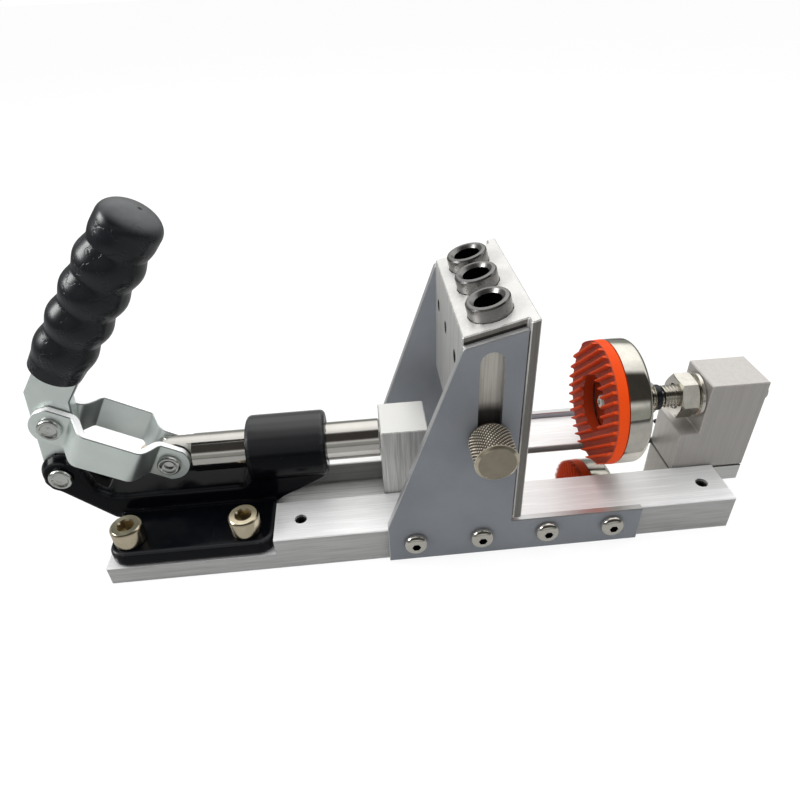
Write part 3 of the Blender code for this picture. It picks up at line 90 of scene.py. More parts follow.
class Wire:
    """A socket of a shader tree. Arithmetic on wires and numbers adds Math nodes."""

    def __init__(self, tree, socket):
        self.tree = tree
        self.socket = socket

    def maths(self, operation, *values, clamp=False):
        settings = {"operation": operation, "use_clamp": clamp}
        return add_node(self.tree, "ShaderNodeMath", settings, *values)

    def __add__(self, other):
        return self.maths("ADD", self, other)

    __radd__ = __add__

    def __sub__(self, other):
        return self.maths("SUBTRACT", self, other)

    def __rsub__(self, other):
        return self.maths("SUBTRACT", other, self)

    def __mul__(self, other):
        return self.maths("MULTIPLY", self, other)

    __rmul__ = __mul__

    def __truediv__(self, other):
        return self.maths("DIVIDE", self, other)

    def __pow__(self, other):
        return self.maths("POWER", self, other)

    def size(self):
        return self.maths("ABSOLUTE", self)

    def least(self, other):
        return self.maths("MINIMUM", self, other)

    def most(self, other):
        return self.maths("MAXIMUM", self, other)

    def step(self, low, high):
        """0 below low and 1 above high, with a smooth rise between them."""
        settings = {"interpolation_type": "SMOOTHSTEP"}
        return add_node(self.tree, "ShaderNodeMapRange", settings, self, low, high, 0.0, 1.0)


def add_node(tree, kind, settings=None, *values, output=0, **named):
    """Adds a node: settings first, then its sockets by order or by name."""
    node = tree.nodes.new(kind)
    for key, value in (settings or {}).items():
        setattr(node, key, value)
    chosen = list(zip(range(len(values)), values)) + [(key.replace("_", " "), value) for key, value in named.items()]
    for key, value in chosen:
        if value is None:
            continue
        if isinstance(value, Wire):
            tree.links.new(value.socket, node.inputs[key])
        else:
            node.inputs[key].default_value = value
    return Wire(tree, node.outputs[output])


def mix_colours(factor, first, second, how="MIX"):
    """Blends two colours by a wire or a number."""
    tree = next(item.tree for item in (factor, first, second) if isinstance(item, Wire))
    node = tree.nodes.new("ShaderNodeMix")
    node.data_type = "RGBA"
    node.blend_type = how
    for index, value in ((0, factor), (6, first), (7, second)):
        if isinstance(value, Wire):
            tree.links.new(value.socket, node.inputs[index])
        else:
            node.inputs[index].default_value = value if index == 0 else (*value, 1)
    return Wire(tree, node.outputs[2])


ray = sky.nodes.new("ShaderNodeLightPath")
seen = Wire(sky, ray.outputs["Is Camera Ray"])
mirrored = Wire(sky, ray.outputs["Is Glossy Ray"])
direction = add_node(sky, "ShaderNodeTexCoord")
parts = sky.nodes.new("ShaderNodeSeparateXYZ")
sky.links.new(direction.socket, parts.inputs[0])
sideways = Wire(sky, parts.outputs[0])
toward_back = Wire(sky, parts.outputs[1])
upward = Wire(sky, parts.outputs[2])
slice_size = ((1 - sideways * sideways) ** 0.5).most(0.05)
over_front = ((upward * 0.84 - toward_back * 0.54) / slice_size).step(0.83, 0.93)
far_sides = sideways.size().step(0.55, 0.90) * (1 - upward.step(0.30, 0.70))
panel = (sideways * 0.20 + toward_back * 0.62 + upward * 0.76).step(0.80, 0.98)
room = mix_colours(upward.step(0.22, 0.60), (0.30, 0.31, 0.29), (1.05, 1.05, 1.04))
room = mix_colours(far_sides * 0.8, room, (0.10, 0.10, 0.10))
room = mix_colours(panel, room, (1.40, 1.40, 1.37))
studio = mix_colours(mirrored, (0.62, 0.62, 0.63), mix_colours(over_front, room, (0.045, 0.042, 0.038)))
shown = mix_colours(seen, studio, (1, 1, 1))
glow = add_node(sky, "ShaderNodeBackground", None, shown, 1.0)
world_end = sky.nodes.new("ShaderNodeOutputWorld")
sky.links.new(glow.socket, world_end.inputs["Surface"])

floor_mesh = bpy.data.meshes.new("floor")
floor_data = bmesh.new()
bmesh.ops.create_grid(floor_data, x_segments=1, y_segments=1, size=6)
floor_data.to_mesh(floor_mesh)
floor_data.free()
floor = bpy.data.objects.new("floor", floor_mesh)
floor.location = (0, 0, -0.0002)
bpy.context.scene.collection.objects.link(floor)
table_top = bpy.data.materials.new("white_table")
table_top.use_nodes = True
tree = table_top.node_tree
paper = tree.nodes["Principled BSDF"]
paper.inputs["Base Color"].default_value = (0.88, 0.88, 0.88, 1)
paper.inputs["Roughness"].default_value = 0.9
paper.inputs["Specular IOR Level"].default_value = 0.1
table_ray = tree.nodes.new("ShaderNodeLightPath")
table_seen = Wire(tree, table_ray.outputs["Is Camera Ray"])
table_glossy = Wire(tree, table_ray.outputs["Is Glossy Ray"])
table_spot = add_node(tree, "ShaderNodeTexCoord", output=3)
far_off = add_node(tree, "ShaderNodeVectorMath", {"operation": "LENGTH"}, table_spot, output=1).step(0.30, 0.85)
in_mirrors = mix_colours(far_off, (0.37, 0.375, 0.365), (0.03, 0.03, 0.03))
white = add_node(tree, "ShaderNodeEmission", None, mix_colours(table_glossy, (1.05, 1.05, 1.05), in_mirrors), 1.0)
lit = add_node(tree, "ShaderNodeMixShader", None, table_seen * 0.86 + table_glossy * 0.90,
               Wire(tree, paper.outputs[0]), white)
tree.links.new(lit.socket, tree.nodes["Material Output"].inputs["Surface"])
floor_mesh.materials.append(table_top)


# Rails, floor plate and sliding bar.
# Flat aluminium bar, sawn to length and brushed along its run. The sliding bar
# is drawn stock, so it is nearly a mirror.
def new_finish(name):
    """An empty Principled material: returns the material, its tree and its shader."""
    material = bpy.data.materials.new(name)
    material.use_nodes = True
    return material, material.node_tree, material.node_tree.nodes["Principled BSDF"]


def place_on(tree, stretch=(1, 1, 1), turn=(0, 0, 0)):
    """Object coordinates, stretched and turned."""
    spot = add_node(tree, "ShaderNodeTexCoord", output=3)
    return add_node(tree, "ShaderNodeMapping", None, spot, None, turn, stretch)


def grain(tree, spot, scale, detail=2.0, rough=0.5):
    return add_node(tree, "ShaderNodeTexNoise", None, Vector=spot, Scale=scale, Detail=detail, Roughness=rough)


def feed(tree, shader, socket, wire):
    tree.links.new(wire.socket, shader.inputs[socket])


def rough_up(tree, shader, height, strength, depth):
    """Bump from a height wire: depth is metres for a height of 1."""
    bump = add_node(tree, "ShaderNodeBump", None, Strength=strength, Distance=depth, Height=height)
    feed(tree, shader, "Normal", bump)


def brushed(name, run, tone=(0.80, 0.795, 0.785), base_rough=0.30, spread=0.20, marks=0.8, depth=6e-6, metallic=0.6,
            painted_side_shade=0.0, painted_top_light=0.0):
    """Aluminium brushed along run (0 is X, 1 is Y, 2 is Z). The scratches scatter light, so it isn't all metallic.
    Faces toward ±Y take painted shade by the side share, and faces looking up take a painted highlight by the top
    share.
    """
    material, tree, shader = new_finish(name)
    shader.inputs["Metallic"].default_value = metallic
    fine = [1700.0, 1700.0, 1700.0]
    fine[run] = 45.0
    broad = [480.0, 480.0, 480.0]
    broad[run] = 12.0
    lines = grain(tree, place_on(tree, fine), 1.0, 3.0, 0.6)
    bands = grain(tree, place_on(tree, broad), 1.0, 2.0)
    cloud = grain(tree, place_on(tree), 38.0, 3.0)
    streak = lines * 0.65 + bands * 0.35
    darker = tuple(value * (1 - 0.34 * marks) for value in tone)
    lighter = tuple(min(value * (1 + 0.10 * marks), 0.96) for value in tone)
    parts = tree.nodes.new("ShaderNodeSeparateXYZ")
    tree.links.new(add_node(tree, "ShaderNodeTexCoord", output=1).socket, parts.inputs[0])
    # Painted shade: faces toward ±Y are darkened by the side share.
    sides = Wire(tree, parts.outputs[1]).size().step(0.75, 0.95) * painted_side_shade
    # Painted highlight: faces looking up are lightened by the top share.
    top = Wire(tree, parts.outputs[2]).step(0.75, 0.95) * painted_top_light
    colour = mix_colours(streak.step(0.36, 0.62).most(top), darker, lighter)
    feed(tree, shader, "Base Color", mix_colours(sides, colour, (0.12, 0.118, 0.112)))
    feed(tree, shader, "Roughness", streak * spread + cloud * 0.10 + (base_rough - spread * 0.5 - 0.05))
    rough_up(tree, shader, lines + bands * 0.5, 1.0, depth)
    return material


def dress(name, material):
    """Gives a CAD node one material."""
    slots = nodes[name].data.materials
    slots.clear()
    slots.append(material)


# The rails' faces toward ±Y carry painted shade and their tops a painted highlight.
rail_finish = brushed("rail_aluminium", 0, tone=(0.93, 0.925, 0.91), base_rough=0.40, marks=0.8, metallic=0.35,
                      painted_side_shade=0.62, painted_top_light=0.62)
dress("near_rail", rail_finish)
dress("far_rail", rail_finish)
dress("floor_plate", brushed("floor_aluminium", 0, tone=(0.70, 0.70, 0.69), base_rough=0.42))
dress("slider_bar", brushed("slider_aluminium", 0, tone=(0.78, 0.78, 0.77), base_rough=0.07, spread=0.05,
                            marks=0.15, depth=5e-7, metallic=1.0))


# Push block and stop block.
# Sawn aluminium blocks, faced by a cutter on top and brushed up and down.
# The push block's top carries a painted highlight; the stop block's faces toward ±Y carry painted shade.
dress("push_block", brushed("push_block_aluminium", 2, tone=(0.68, 0.675, 0.655), base_rough=0.42,
                           painted_top_light=0.9))
dress("stop_block", brushed("stop_block_aluminium", 2, tone=(0.58, 0.555, 0.53), base_rough=0.46, marks=0.25,
                            painted_side_shade=0.3))


# Guide block.
# One piece with a thin flange that the board is clamped against. It is bored at
# a slant for the drill and brushed up and down. Its sliding faces are tinted
# brown, and painted shade darkens them where they lie close behind the plates'
# tops and behind the thumb screw, and on the flange. Painted shade also darkens
# its left face and the holes of the grub screws.
guide_finish = brushed("guide_aluminium", 2, tone=(0.72, 0.71, 0.69), base_rough=0.42, painted_top_light=0.7)
tree = guide_finish.node_tree
shader = tree.nodes["Principled BSDF"]
guide_spot = tree.nodes.new("ShaderNodeSeparateXYZ")
guide_facing = tree.nodes.new("ShaderNodeSeparateXYZ")
tree.links.new(place_on(tree).socket, guide_spot.inputs[0])
tree.links.new(add_node(tree, "ShaderNodeTexCoord", output=1).socket, guide_facing.inputs[0])
spot_x, spot_z = Wire(tree, guide_spot.outputs[0]), Wire(tree, guide_spot.outputs[2])
sliding = Wire(tree, guide_facing.outputs[1]).size().step(0.80, 0.95)
plate_top, thumb_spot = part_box("near_side_plate")[1][2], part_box("thumb_screw")
thumb_x, thumb_z = (thumb_spot[0][0] + thumb_spot[1][0]) / 2, (thumb_spot[0][2] + thumb_spot[1][2]) / 2
over_edge = spot_z - plate_top + (0.0346 - spot_x) * math.tan(math.radians(15))
# Painted shade on the sliding faces from near the plates' tops upward, and a painted black shadow line along the gap at
# the plates' tops.
strip_shade = over_edge.step(-0.003, -0.002) * 0.60
gap_shadow = over_edge.step(-0.003, -0.002) * (1 - over_edge.step(0.0007, 0.0011)) * 0.97
to_thumb = ((spot_x - thumb_x) * (spot_x - thumb_x) + (spot_z - thumb_z) * (spot_z - thumb_z)) ** 0.5
# Painted shadow round the thumb screw.
knob_shadow = (1 - to_thumb.step(0.0095, 0.0150)) * 0.92
# Painted shade on the flange's faces toward ±Y, and on the faces looking toward -X.
flange_edge_shade = spot_x.step(0.0340, 0.0348) * 0.74
left_face_shade = (0 - Wire(tree, guide_facing.outputs[0])).step(0.60, 0.95) * 0.30
plate_shade = strip_shade.most(gap_shadow) * (1 - spot_x.step(0.0340, 0.0348))
dark = (plate_shade.most(knob_shadow).most(flange_edge_shade) * sliding).most(left_face_shade)
spot_y = Wire(tree, guide_spot.outputs[1])
# Painted shade inside the grub screw holes.
for number in (1, 2, 3):
    low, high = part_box(f"bushing_grub_{number}")
    off_y, off_z = spot_y - (low[1] + high[1]) / 2, spot_z - (low[2] + high[2]) / 2
    wall = (high[2] - low[2]) / 2 + 0.0003
    hole_shade = 1 - ((off_y * off_y + off_z * off_z) ** 0.5).step(wall, wall + 0.0003)
    dark = dark.most(hole_shade * (1 - spot_x.step(high[0], high[0] + 0.0005)) * 0.95)
bright = Wire(tree, shader.inputs["Base Color"].links[0].from_socket)
bright = mix_colours(sliding * 0.35, bright, (0.52, 0.45, 0.35))
feed(tree, shader, "Base Color", mix_colours(dark, bright, (0.035, 0.033, 0.03)))
dress("guide_block", guide_finish)


# Side plates.
# Bent-free sheet with a matt blue-grey coating, sheared after coating so that
# its edges and the slot's walls are bare metal.
def coated_sheet(name, lift=1.0):
    """The coated sheet. Its faces toward -Y are lighter by the lift, where the light comes in over the rails."""
    material, tree, shader = new_finish(name)
    facing = add_node(tree, "ShaderNodeTexCoord", output=1)
    parts = tree.nodes.new("ShaderNodeSeparateXYZ")
    tree.links.new(facing.socket, parts.inputs[0])
    flat = Wire(tree, parts.outputs[1]).size().step(0.80, 0.95)
    cloud = grain(tree, place_on(tree), 30.0, 4.0)
    speck = grain(tree, place_on(tree), 5200.0, 2.0)
    shades = (0.235, 0.250, 0.275), (0.280, 0.295, 0.320)
    inner_shades = [tuple(lift * value for value in shade) for shade in shades]
    toward_front = (0 - Wire(tree, parts.outputs[1])).step(0.50, 0.90)
    patches = cloud.step(0.3, 0.7)
    coat = mix_colours(toward_front, mix_colours(patches, *shades), mix_colours(patches, *inner_shades))
    bare = mix_colours(speck, (0.52, 0.53, 0.54), (0.70, 0.70, 0.70))
    feed(tree, shader, "Base Color", mix_colours(flat, bare, coat))
    feed(tree, shader, "Metallic", 0.95 - flat * 0.45)
    feed(tree, shader, "Roughness", 0.34 + flat * 0.16 + speck * 0.10)
    rough_up(tree, shader, speck, 0.6, 1.2e-5)
    return material


dress("near_side_plate", coated_sheet("coated_plate"))
dress("far_side_plate", coated_sheet("coated_plate_far", lift=1.6))


# Button head screws in the side plates.
# Nickel plated, with a low domed head and a hexagon socket. Two rows of four,
# turned over on the far side.
def settle(name, data, material=None, sharp=35):
    """Closes off bmesh data as a smooth-shaded piece whose place is in its mesh."""
    bmesh.ops.remove_doubles(data, verts=data.verts, dist=1e-7)
    bmesh.ops.recalc_face_normals(data, faces=data.faces)
    mesh = bpy.data.meshes.new(name)
    data.to_mesh(mesh)
    data.free()
    piece = bpy.data.objects.new(name, mesh)
    bpy.context.scene.collection.objects.link(piece)
    if material:
        mesh.materials.append(material)
    smooth(piece, sharp)
    return piece


def smooth(piece, sharp=35):
    piece.data.shade_smooth()
    piece.data.set_sharp_from_angle(angle=math.radians(sharp))


def turned(name, profile, start, toward, material=None, steps=72, sharp=35):
    """A turned piece: profile is (distance along the axis, radius), from one end to the other."""
    turn = Vector(toward).normalized().to_track_quat("Z", "Y").to_matrix().to_4x4()
    data = bmesh.new()
    rings = []
    for along, radius in profile:
        if radius <= 0:
            rings.append([data.verts.new((0, 0, along))])
            continue
        angles = [2 * math.pi * i / steps for i in range(steps)]
        rings.append([data.verts.new((radius * math.cos(a), radius * math.sin(a), along)) for a in angles])
    pairs = list(zip(rings, rings[1:]))
    if len(rings[0]) > 1:
        pairs.append((rings[-1], rings[0]))
    for first, second in pairs:
        for i in range(steps):
            j = (i + 1) % steps
            ends = (first[i % len(first)], first[j % len(first)], second[j % len(second)], second[i % len(second)])
            loop = list(dict.fromkeys(ends))
            if len(loop) > 2:
                data.faces.new(loop)
    bmesh.ops.transform(data, verts=data.verts, matrix=Matrix.Translation(start) @ turn)
    return settle(name, data, material, sharp)


def dome(radius, flat, low, high, steps=8):
    """The curved side of a domed head, from its rim up to its flat crown."""
    angles = [math.pi / 2 * i / steps for i in range(steps + 1)]
    return [(low + (high - low) * math.sin(a), flat + (radius - flat) * math.cos(a)) for a in angles]


def make_plain(piece):
    """Turns a piece and its modifiers into one plain mesh."""
    bpy.context.view_layer.update()
    ready = piece.evaluated_get(bpy.context.evaluated_depsgraph_get())
    mesh = bpy.data.meshes.new_from_object(ready)
    piece.modifiers.clear()
    piece.data = mesh
    return piece


def carve(piece, *cutters, how="DIFFERENCE", sharp=35):
    """Cuts the cutters out of a piece and throws them away."""
    for cutter in cutters:
        boolean = piece.modifiers.new("carve", "BOOLEAN")
        boolean.operation = how
        boolean.solver = "EXACT"
        boolean.object = cutter
    make_plain(piece)
    for cutter in cutters:
        bpy.data.objects.remove(cutter)
    smooth(piece, sharp)
    return piece


def hexagon(across_flats, start, toward, depth):
    """A cutter for a hexagon socket with a drilled point at its bottom."""
    corner = across_flats / math.sqrt(3)
    over = 0.001
    point = across_flats * 0.28
    profile = [(-over, 0), (-over, corner), (depth, corner), (depth, point), (depth + point * 0.5, 0)]
    return turned("socket", profile, start, toward, steps=6)


def mark_inside(piece, radius, below):
    """Marks the faces of a socket in a head that points up, so that painted shade can darken them."""
    mark = piece.data.attributes.new("inside", "FLOAT", "FACE")
    for face, entry in zip(piece.data.polygons, mark.data):
        inner = math.hypot(face.center.x, face.center.y) < radius and face.center.z > 0
        entry.value = float(inner and face.center.z < below)


def fastener_tree():
    """Geometry nodes that set a copy of a fastener at each of the piece's own points."""
    tree = bpy.data.node_groups.new("set_fasteners", "GeometryNodeTree")
    tree.interface.new_socket("Places", in_out="INPUT", socket_type="NodeSocketGeometry")
    for label, kind in (("Fastener", "Object"), ("Turn", "Vector"), ("Finish", "Material")):
        tree.interface.new_socket(label, in_out="INPUT", socket_type="NodeSocket" + kind)
    tree.interface.new_socket("Set", in_out="OUTPUT", socket_type="NodeSocketGeometry")
    given = tree.nodes.new("NodeGroupInput")
    result = tree.nodes.new("NodeGroupOutput")
    source = tree.nodes.new("GeometryNodeObjectInfo")
    stand = tree.nodes.new("GeometryNodeInstanceOnPoints")
    real = tree.nodes.new("GeometryNodeRealizeInstances")
    paint = tree.nodes.new("GeometryNodeSetMaterial")
    for out, into in ((given.outputs["Fastener"], source.inputs["Object"]),
                      (given.outputs["Places"], stand.inputs["Points"]),
                      (source.outputs["Geometry"], stand.inputs["Instance"]),
                      (given.outputs["Turn"], stand.inputs["Rotation"]),
                      (stand.outputs["Instances"], real.inputs["Geometry"]),
                      (real.outputs["Geometry"], paint.inputs["Geometry"]),
                      (given.outputs["Finish"], paint.inputs["Material"]),
                      (paint.outputs["Geometry"], result.inputs["Set"])):
        tree.links.new(out, into)
    return tree


fasteners = fastener_tree()


def set_fasteners(name, master, places, material, turn=(0, 0, 0), sharp=35):
    """One piece with a copy of the master, whose head points up, at each place."""
    mesh = bpy.data.meshes.new(name)
    mesh.from_pydata([tuple(place) for place in places], [], [])
    piece = bpy.data.objects.new(name, mesh)
    bpy.context.scene.collection.objects.link(piece)
    stack = piece.modifiers.new("set_fasteners", "NODES")
    stack.node_group = fasteners
    given = {"Fastener": master, "Turn": turn, "Finish": material}
    for item in fasteners.interface.items_tree:
        if item.in_out == "INPUT" and item.name in given:
            stack[item.identifier] = given[item.name]
    make_plain(piece)
    bpy.data.objects.remove(master)
    smooth(piece, sharp)
    return piece


def middle(name):
    low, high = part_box(name)
    return (Vector(low) + Vector(high)) / 2


def nickel(name, tone=(0.78, 0.75, 0.69), rough=0.15, wear=0.08, inner=(0.05, 0.045, 0.04)):
    """Bright nickel with a warm cast, faint handling marks and duller patches."""
    material, tree, shader = new_finish(name)
    shader.inputs["Metallic"].default_value = 1.0
    cloud = grain(tree, place_on(tree), 240.0, 4.0, 0.6)
    fine = grain(tree, place_on(tree), 2600.0, 3.0)
    inside = add_node(tree, "ShaderNodeAttribute", {"attribute_name": "inside"}, output=2)
    dull = tuple(value * 0.90 for value in tone)
    colour = mix_colours(cloud.step(0.35, 0.65), tone, dull)
    # Painted shade: the marked socket faces take the inner colour.
    feed(tree, shader, "Base Color", mix_colours(inside, colour, inner))
    feed(tree, shader, "Roughness", cloud * wear + fine * 0.08 + (rough - 0.06))
    rough_up(tree, shader, fine, 1.0, 2e-6)
    return material


screw_finish = nickel("screw_nickel")
plate_screws = {"near": [f"near_plate_screw_{i}" for i in range(1, 5)],
                "far": [f"far_plate_screw_{i}" for i in range(1, 5)]}
head_radius, head_height, shank_radius = 0.00495, 0.0028, 0.0025
for side_name, toward, tilt in (("near", -1, math.radians(90)), ("far", 1, math.radians(-90))):
    names = plate_screws[side_name]
    box_low, box_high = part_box(names[0])
    length = box_high[1] - box_low[1] - head_height
    profile = [(-length, 0), (-length, shank_radius - 0.0005), (-length + 0.0005, shank_radius), (0, shank_radius),
               (0, head_radius - 0.0002), (0.0001, head_radius - 0.00005)]
    profile += dome(head_radius, head_radius * 0.52, 0.0004, head_height)
    profile += [(head_height, 0)]
    master = turned("button_screw", profile, (0, 0, 0), (0, 0, 1))
    carve(master, hexagon(0.0032, (0, 0, head_height), (0, 0, -1), 0.0020))
    mark_inside(master, 0.0020, head_height - 0.00002)
    face = box_low[1] + head_height if toward < 0 else box_high[1] - head_height
    places = [(middle(name).x, face, middle(name).z) for name in names]
    row = set_fasteners(f"{side_name}_button_screws", master, places, screw_finish, (tilt, 0, 0))
    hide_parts(*names)
    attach(row, "frame")


# Cap bolts through the casting's foot.
# Socket cap bolts with plain tall heads, nickel plated and a little brassy.
bolt_finish = nickel("bolt_nickel", tone=(0.74, 0.65, 0.48), rough=0.20, inner=(0.30, 0.25, 0.16))
bolt_names = [f"clamp_bolt_{i}" for i in range(1, 5)]
bolt_low, bolt_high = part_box(bolt_names[0])
cap_radius, cap_height, bolt_radius = 0.0064, 0.008, 0.004
bolt_length = bolt_high[2] - bolt_low[2] - cap_height
profile = [(-bolt_length, 0), (-bolt_length, bolt_radius - 0.0006), (-bolt_length + 0.0006, bolt_radius),
           (0, bolt_radius), (0, cap_radius - 0.0002), (0.0002, cap_radius), (cap_height - 0.0009, cap_radius),
           (cap_height - 0.0004, cap_radius - 0.00025), (cap_height, cap_radius - 0.0008), (cap_height, 0)]
master = turned("cap_bolt", profile, (0, 0, 0), (0, 0, 1))
mouth = turned("mouth", [(0.0002, 0), (0.0002, 0.0037), (-0.0012, 0.0026), (-0.0012, 0)], (0, 0, cap_height), (0, 0, 1))
carve(master, hexagon(0.006, (0, 0, cap_height), (0, 0, -1), 0.0045), mouth)
mark_inside(master, 0.0034, cap_height - 0.0014)
seat = bolt_high[2] - cap_height
bolts = set_fasteners("foot_bolts", master, [(middle(n).x, middle(n).y, seat) for n in bolt_names], bolt_finish)
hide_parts(*bolt_names)
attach(bolts, "frame")


# Sunk screws.
# Black oxide grub and countersunk screws, seen only as dark sockets.
def black_oxide(name):
    material, tree, shader = new_finish(name)
    shader.inputs["Metallic"].default_value = 0.9
    cloud = grain(tree, place_on(tree), 900.0, 3.0)
    feed(tree, shader, "Base Color", mix_colours(cloud, (0.012, 0.012, 0.012), (0.05, 0.048, 0.045)))
    feed(tree, shader, "Roughness", cloud * 0.2 + 0.35)
    return material


oxide = black_oxide("black_oxide")
for name in [f"rail_screw_{i}" for i in range(1, 5)] + [f"bushing_grub_{i}" for i in range(1, 4)]:
    dress(name, oxide)
for name in ("push_block_screw", "stop_block_screw_1", "stop_block_screw_2"):
    dress(name, oxide)


# Toggle clamp casting.
# Cast iron in one piece: a foot, a web, two ears and a bored barrel. The edges
# are soft from the mould and the black paint is glossy over a slightly rough skin.
# The barrel's upper side carries a painted sheen and the upward edges a painted
# highlight.
def soften(name, node, voxel, rounds, material):
    """A smooth copy of a CAD node: its faces are merged into one skin and its edges rounded."""
    data = bmesh.new()
    data.from_mesh(nodes[node].data)
    bmesh.ops.remove_doubles(data, verts=data.verts, dist=1e-6)
    mesh = bpy.data.meshes.new(name)
    data.to_mesh(mesh)
    data.free()
    piece = bpy.data.objects.new(name, mesh)
    bpy.context.scene.collection.objects.link(piece)
    remesh = piece.modifiers.new("skin", "REMESH")
    remesh.mode = "VOXEL"
    remesh.voxel_size = voxel
    relax = piece.modifiers.new("relax", "SMOOTH")
    relax.factor = 0.5
    relax.iterations = rounds
    make_plain(piece)
    piece.data.materials.clear()
    piece.data.materials.append(material)
    piece.data.shade_smooth()
    return piece


def mark_edges(piece, low, high):
    """Marks how sharply each point of a piece stands out, from 0 on flats to 1 on outer edges."""
    mesh = piece.data
    total = [0.0] * len(mesh.vertices)
    count = [0] * len(mesh.vertices)
    for edge in mesh.edges:
        first, second = (mesh.vertices[i] for i in edge.vertices)
        run = (second.co - first.co).normalized()
        total[first.index] -= run.dot(first.normal)
        total[second.index] += run.dot(second.normal)
        count[first.index] += 1
        count[second.index] += 1
    mark = mesh.attributes.new("edge", "FLOAT", "POINT")
    for entry, value, number in zip(mark.data, total, count):
        entry.value = min(max((value / max(number, 1) - low) / (high - low), 0), 1)


def paint_over_casting(name):
    material, tree, shader = new_finish(name)
    shader.inputs["Specular IOR Level"].default_value = 0.10
    shader.inputs["Coat Roughness"].default_value = 0.36
    rim = add_node(tree, "ShaderNodeAttribute", {"attribute_name": "edge"}, output=2)
    parts = tree.nodes.new("ShaderNodeSeparateXYZ")
    tree.links.new(place_on(tree).socket, parts.inputs[0])
    facing = tree.nodes.new("ShaderNodeSeparateXYZ")
    tree.links.new(add_node(tree, "ShaderNodeTexCoord", output=1).socket, facing.inputs[0])
    barrel = Wire(tree, parts.outputs[0]).step(-0.074, -0.071) * Wire(tree, parts.outputs[2]).step(0.036, 0.046)
    sheen = barrel * Wire(tree, facing.outputs[2]).step(0.30, 0.90)
    feed(tree, shader, "Coat Weight", (rim + sheen).least(1.0) * 0.9)
    skin = grain(tree, place_on(tree), 260.0, 4.0, 0.6)
    lumps = grain(tree, place_on(tree), 70.0, 2.0)
    black = mix_colours(skin, (0.001, 0.0012, 0.002), (0.003, 0.0035, 0.005))
    # Painted highlight on upward edges, and painted sheen in the base colour of the barrel's upper side.
    edge_highlight = rim * Wire(tree, facing.outputs[2]).step(0.15, 0.60) * 0.75
    painted = mix_colours(sheen * 0.8, black, (0.022, 0.0225, 0.024))
    feed(tree, shader, "Base Color", mix_colours(edge_highlight, painted, (0.075, 0.078, 0.082)))
    feed(tree, shader, "Roughness", skin * 0.14 + 0.13)
    rough_up(tree, shader, skin * 0.35 + lumps, 0.8, 2.2e-4)
    return material


casting = soften("clamp_casting", "clamp_body", 0.0007, 7, paint_over_casting("glossy_black_paint"))
mark_edges(casting, 0.04, 0.22)
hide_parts("clamp_body")
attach(casting, "frame")


# Toggle links, handle bar and rivets.
# Pressed steel strip with a bright zinc plate that is slightly green. The links
# bow out round the casting's ears; the rivet heads are dished. The strips' upward
# edges carry a painted highlight and the slopes of their bends facing +X a
# painted shade.
def zinc_plate(name, tone=(0.68, 0.74, 0.71), rough=0.33, rims=0.0, metallic=1.0):
    """Zinc plate. Where the rim share is above 0, the strip's upward edges take a painted highlight and its slopes
    facing +X a painted shade.
    """
    material, tree, shader = new_finish(name)
    parts = tree.nodes.new("ShaderNodeSeparateXYZ")
    tree.links.new(add_node(tree, "ShaderNodeTexCoord", output=1).socket, parts.inputs[0])
    # Painted highlight on the narrow faces that look up.
    upper = (1 - Wire(tree, parts.outputs[1]).size().step(0.20, 0.40)) * Wire(tree, parts.outputs[2]).step(0.20, 0.60)
    cloud = grain(tree, place_on(tree), 60.0, 4.0, 0.6)
    fine = grain(tree, place_on(tree), 1500.0, 3.0)
    pale = tuple(min(value * 1.10, 1) for value in tone)
    across = Wire(tree, parts.outputs[1]).size()
    rightward = Wire(tree, parts.outputs[0]).step(0.05, 0.30)
    # Painted shade on the slopes of the bends that face +X.
    bend_shade = across.step(0.25, 0.45) * (1 - across.step(0.72, 0.95)) * rightward * rims * 0.80
    colour = mix_colours(bend_shade, mix_colours(cloud.step(0.3, 0.7), tone, pale), (0.10, 0.115, 0.11))
    feed(tree, shader, "Base Color", mix_colours(upper * rims, colour, (1.0, 1.0, 1.0)))
    feed(tree, shader, "Metallic", metallic - upper * rims * metallic)
    feed(tree, shader, "Roughness", cloud * 0.12 + fine * 0.08 + (rough - 0.10))
    rough_up(tree, shader, fine + cloud * 0.6, 1.0, 4e-6)
    return material


joint_places = {joint["name"]: joint.get("pos_m") for joint in frame["joints"]}
crank_pin = Vector(joint_places["handle_swing"])
plunger_pin = Vector(joint_places["link_swing"])
ear_pin = middle("ear_rivet")
link_run = (plunger_pin - crank_pin).normalized()
link_length = (plunger_pin - crank_pin).length
link_across = Vector((-link_run.z, 0, link_run.x))
strip, link_half = 0.003, 0.008
tab_middle = 0.0033 + strip / 2
bow_out = 0.0087
bow_marks = ((0.0072, 0.0), (0.0122, bow_out), (0.0346, bow_out), (0.0396, 0.0))


def bow(along):
    """How far the link's middle stands out from its tabs."""
    marks = ((-1, 0.0),) + bow_marks + ((1, 0.0),)
    for (a, low), (b, high) in zip(marks, marks[1:]):
        if along <= b:
            return low + (high - low) * (along - a) / (b - a)
    return 0.0


def soft_bow(along, blur=0.0014, samples=9):
    spots = [along + blur * (2 * i / (samples - 1) - 1) for i in range(samples)]
    return sum(bow(spot) for spot in spots) / samples


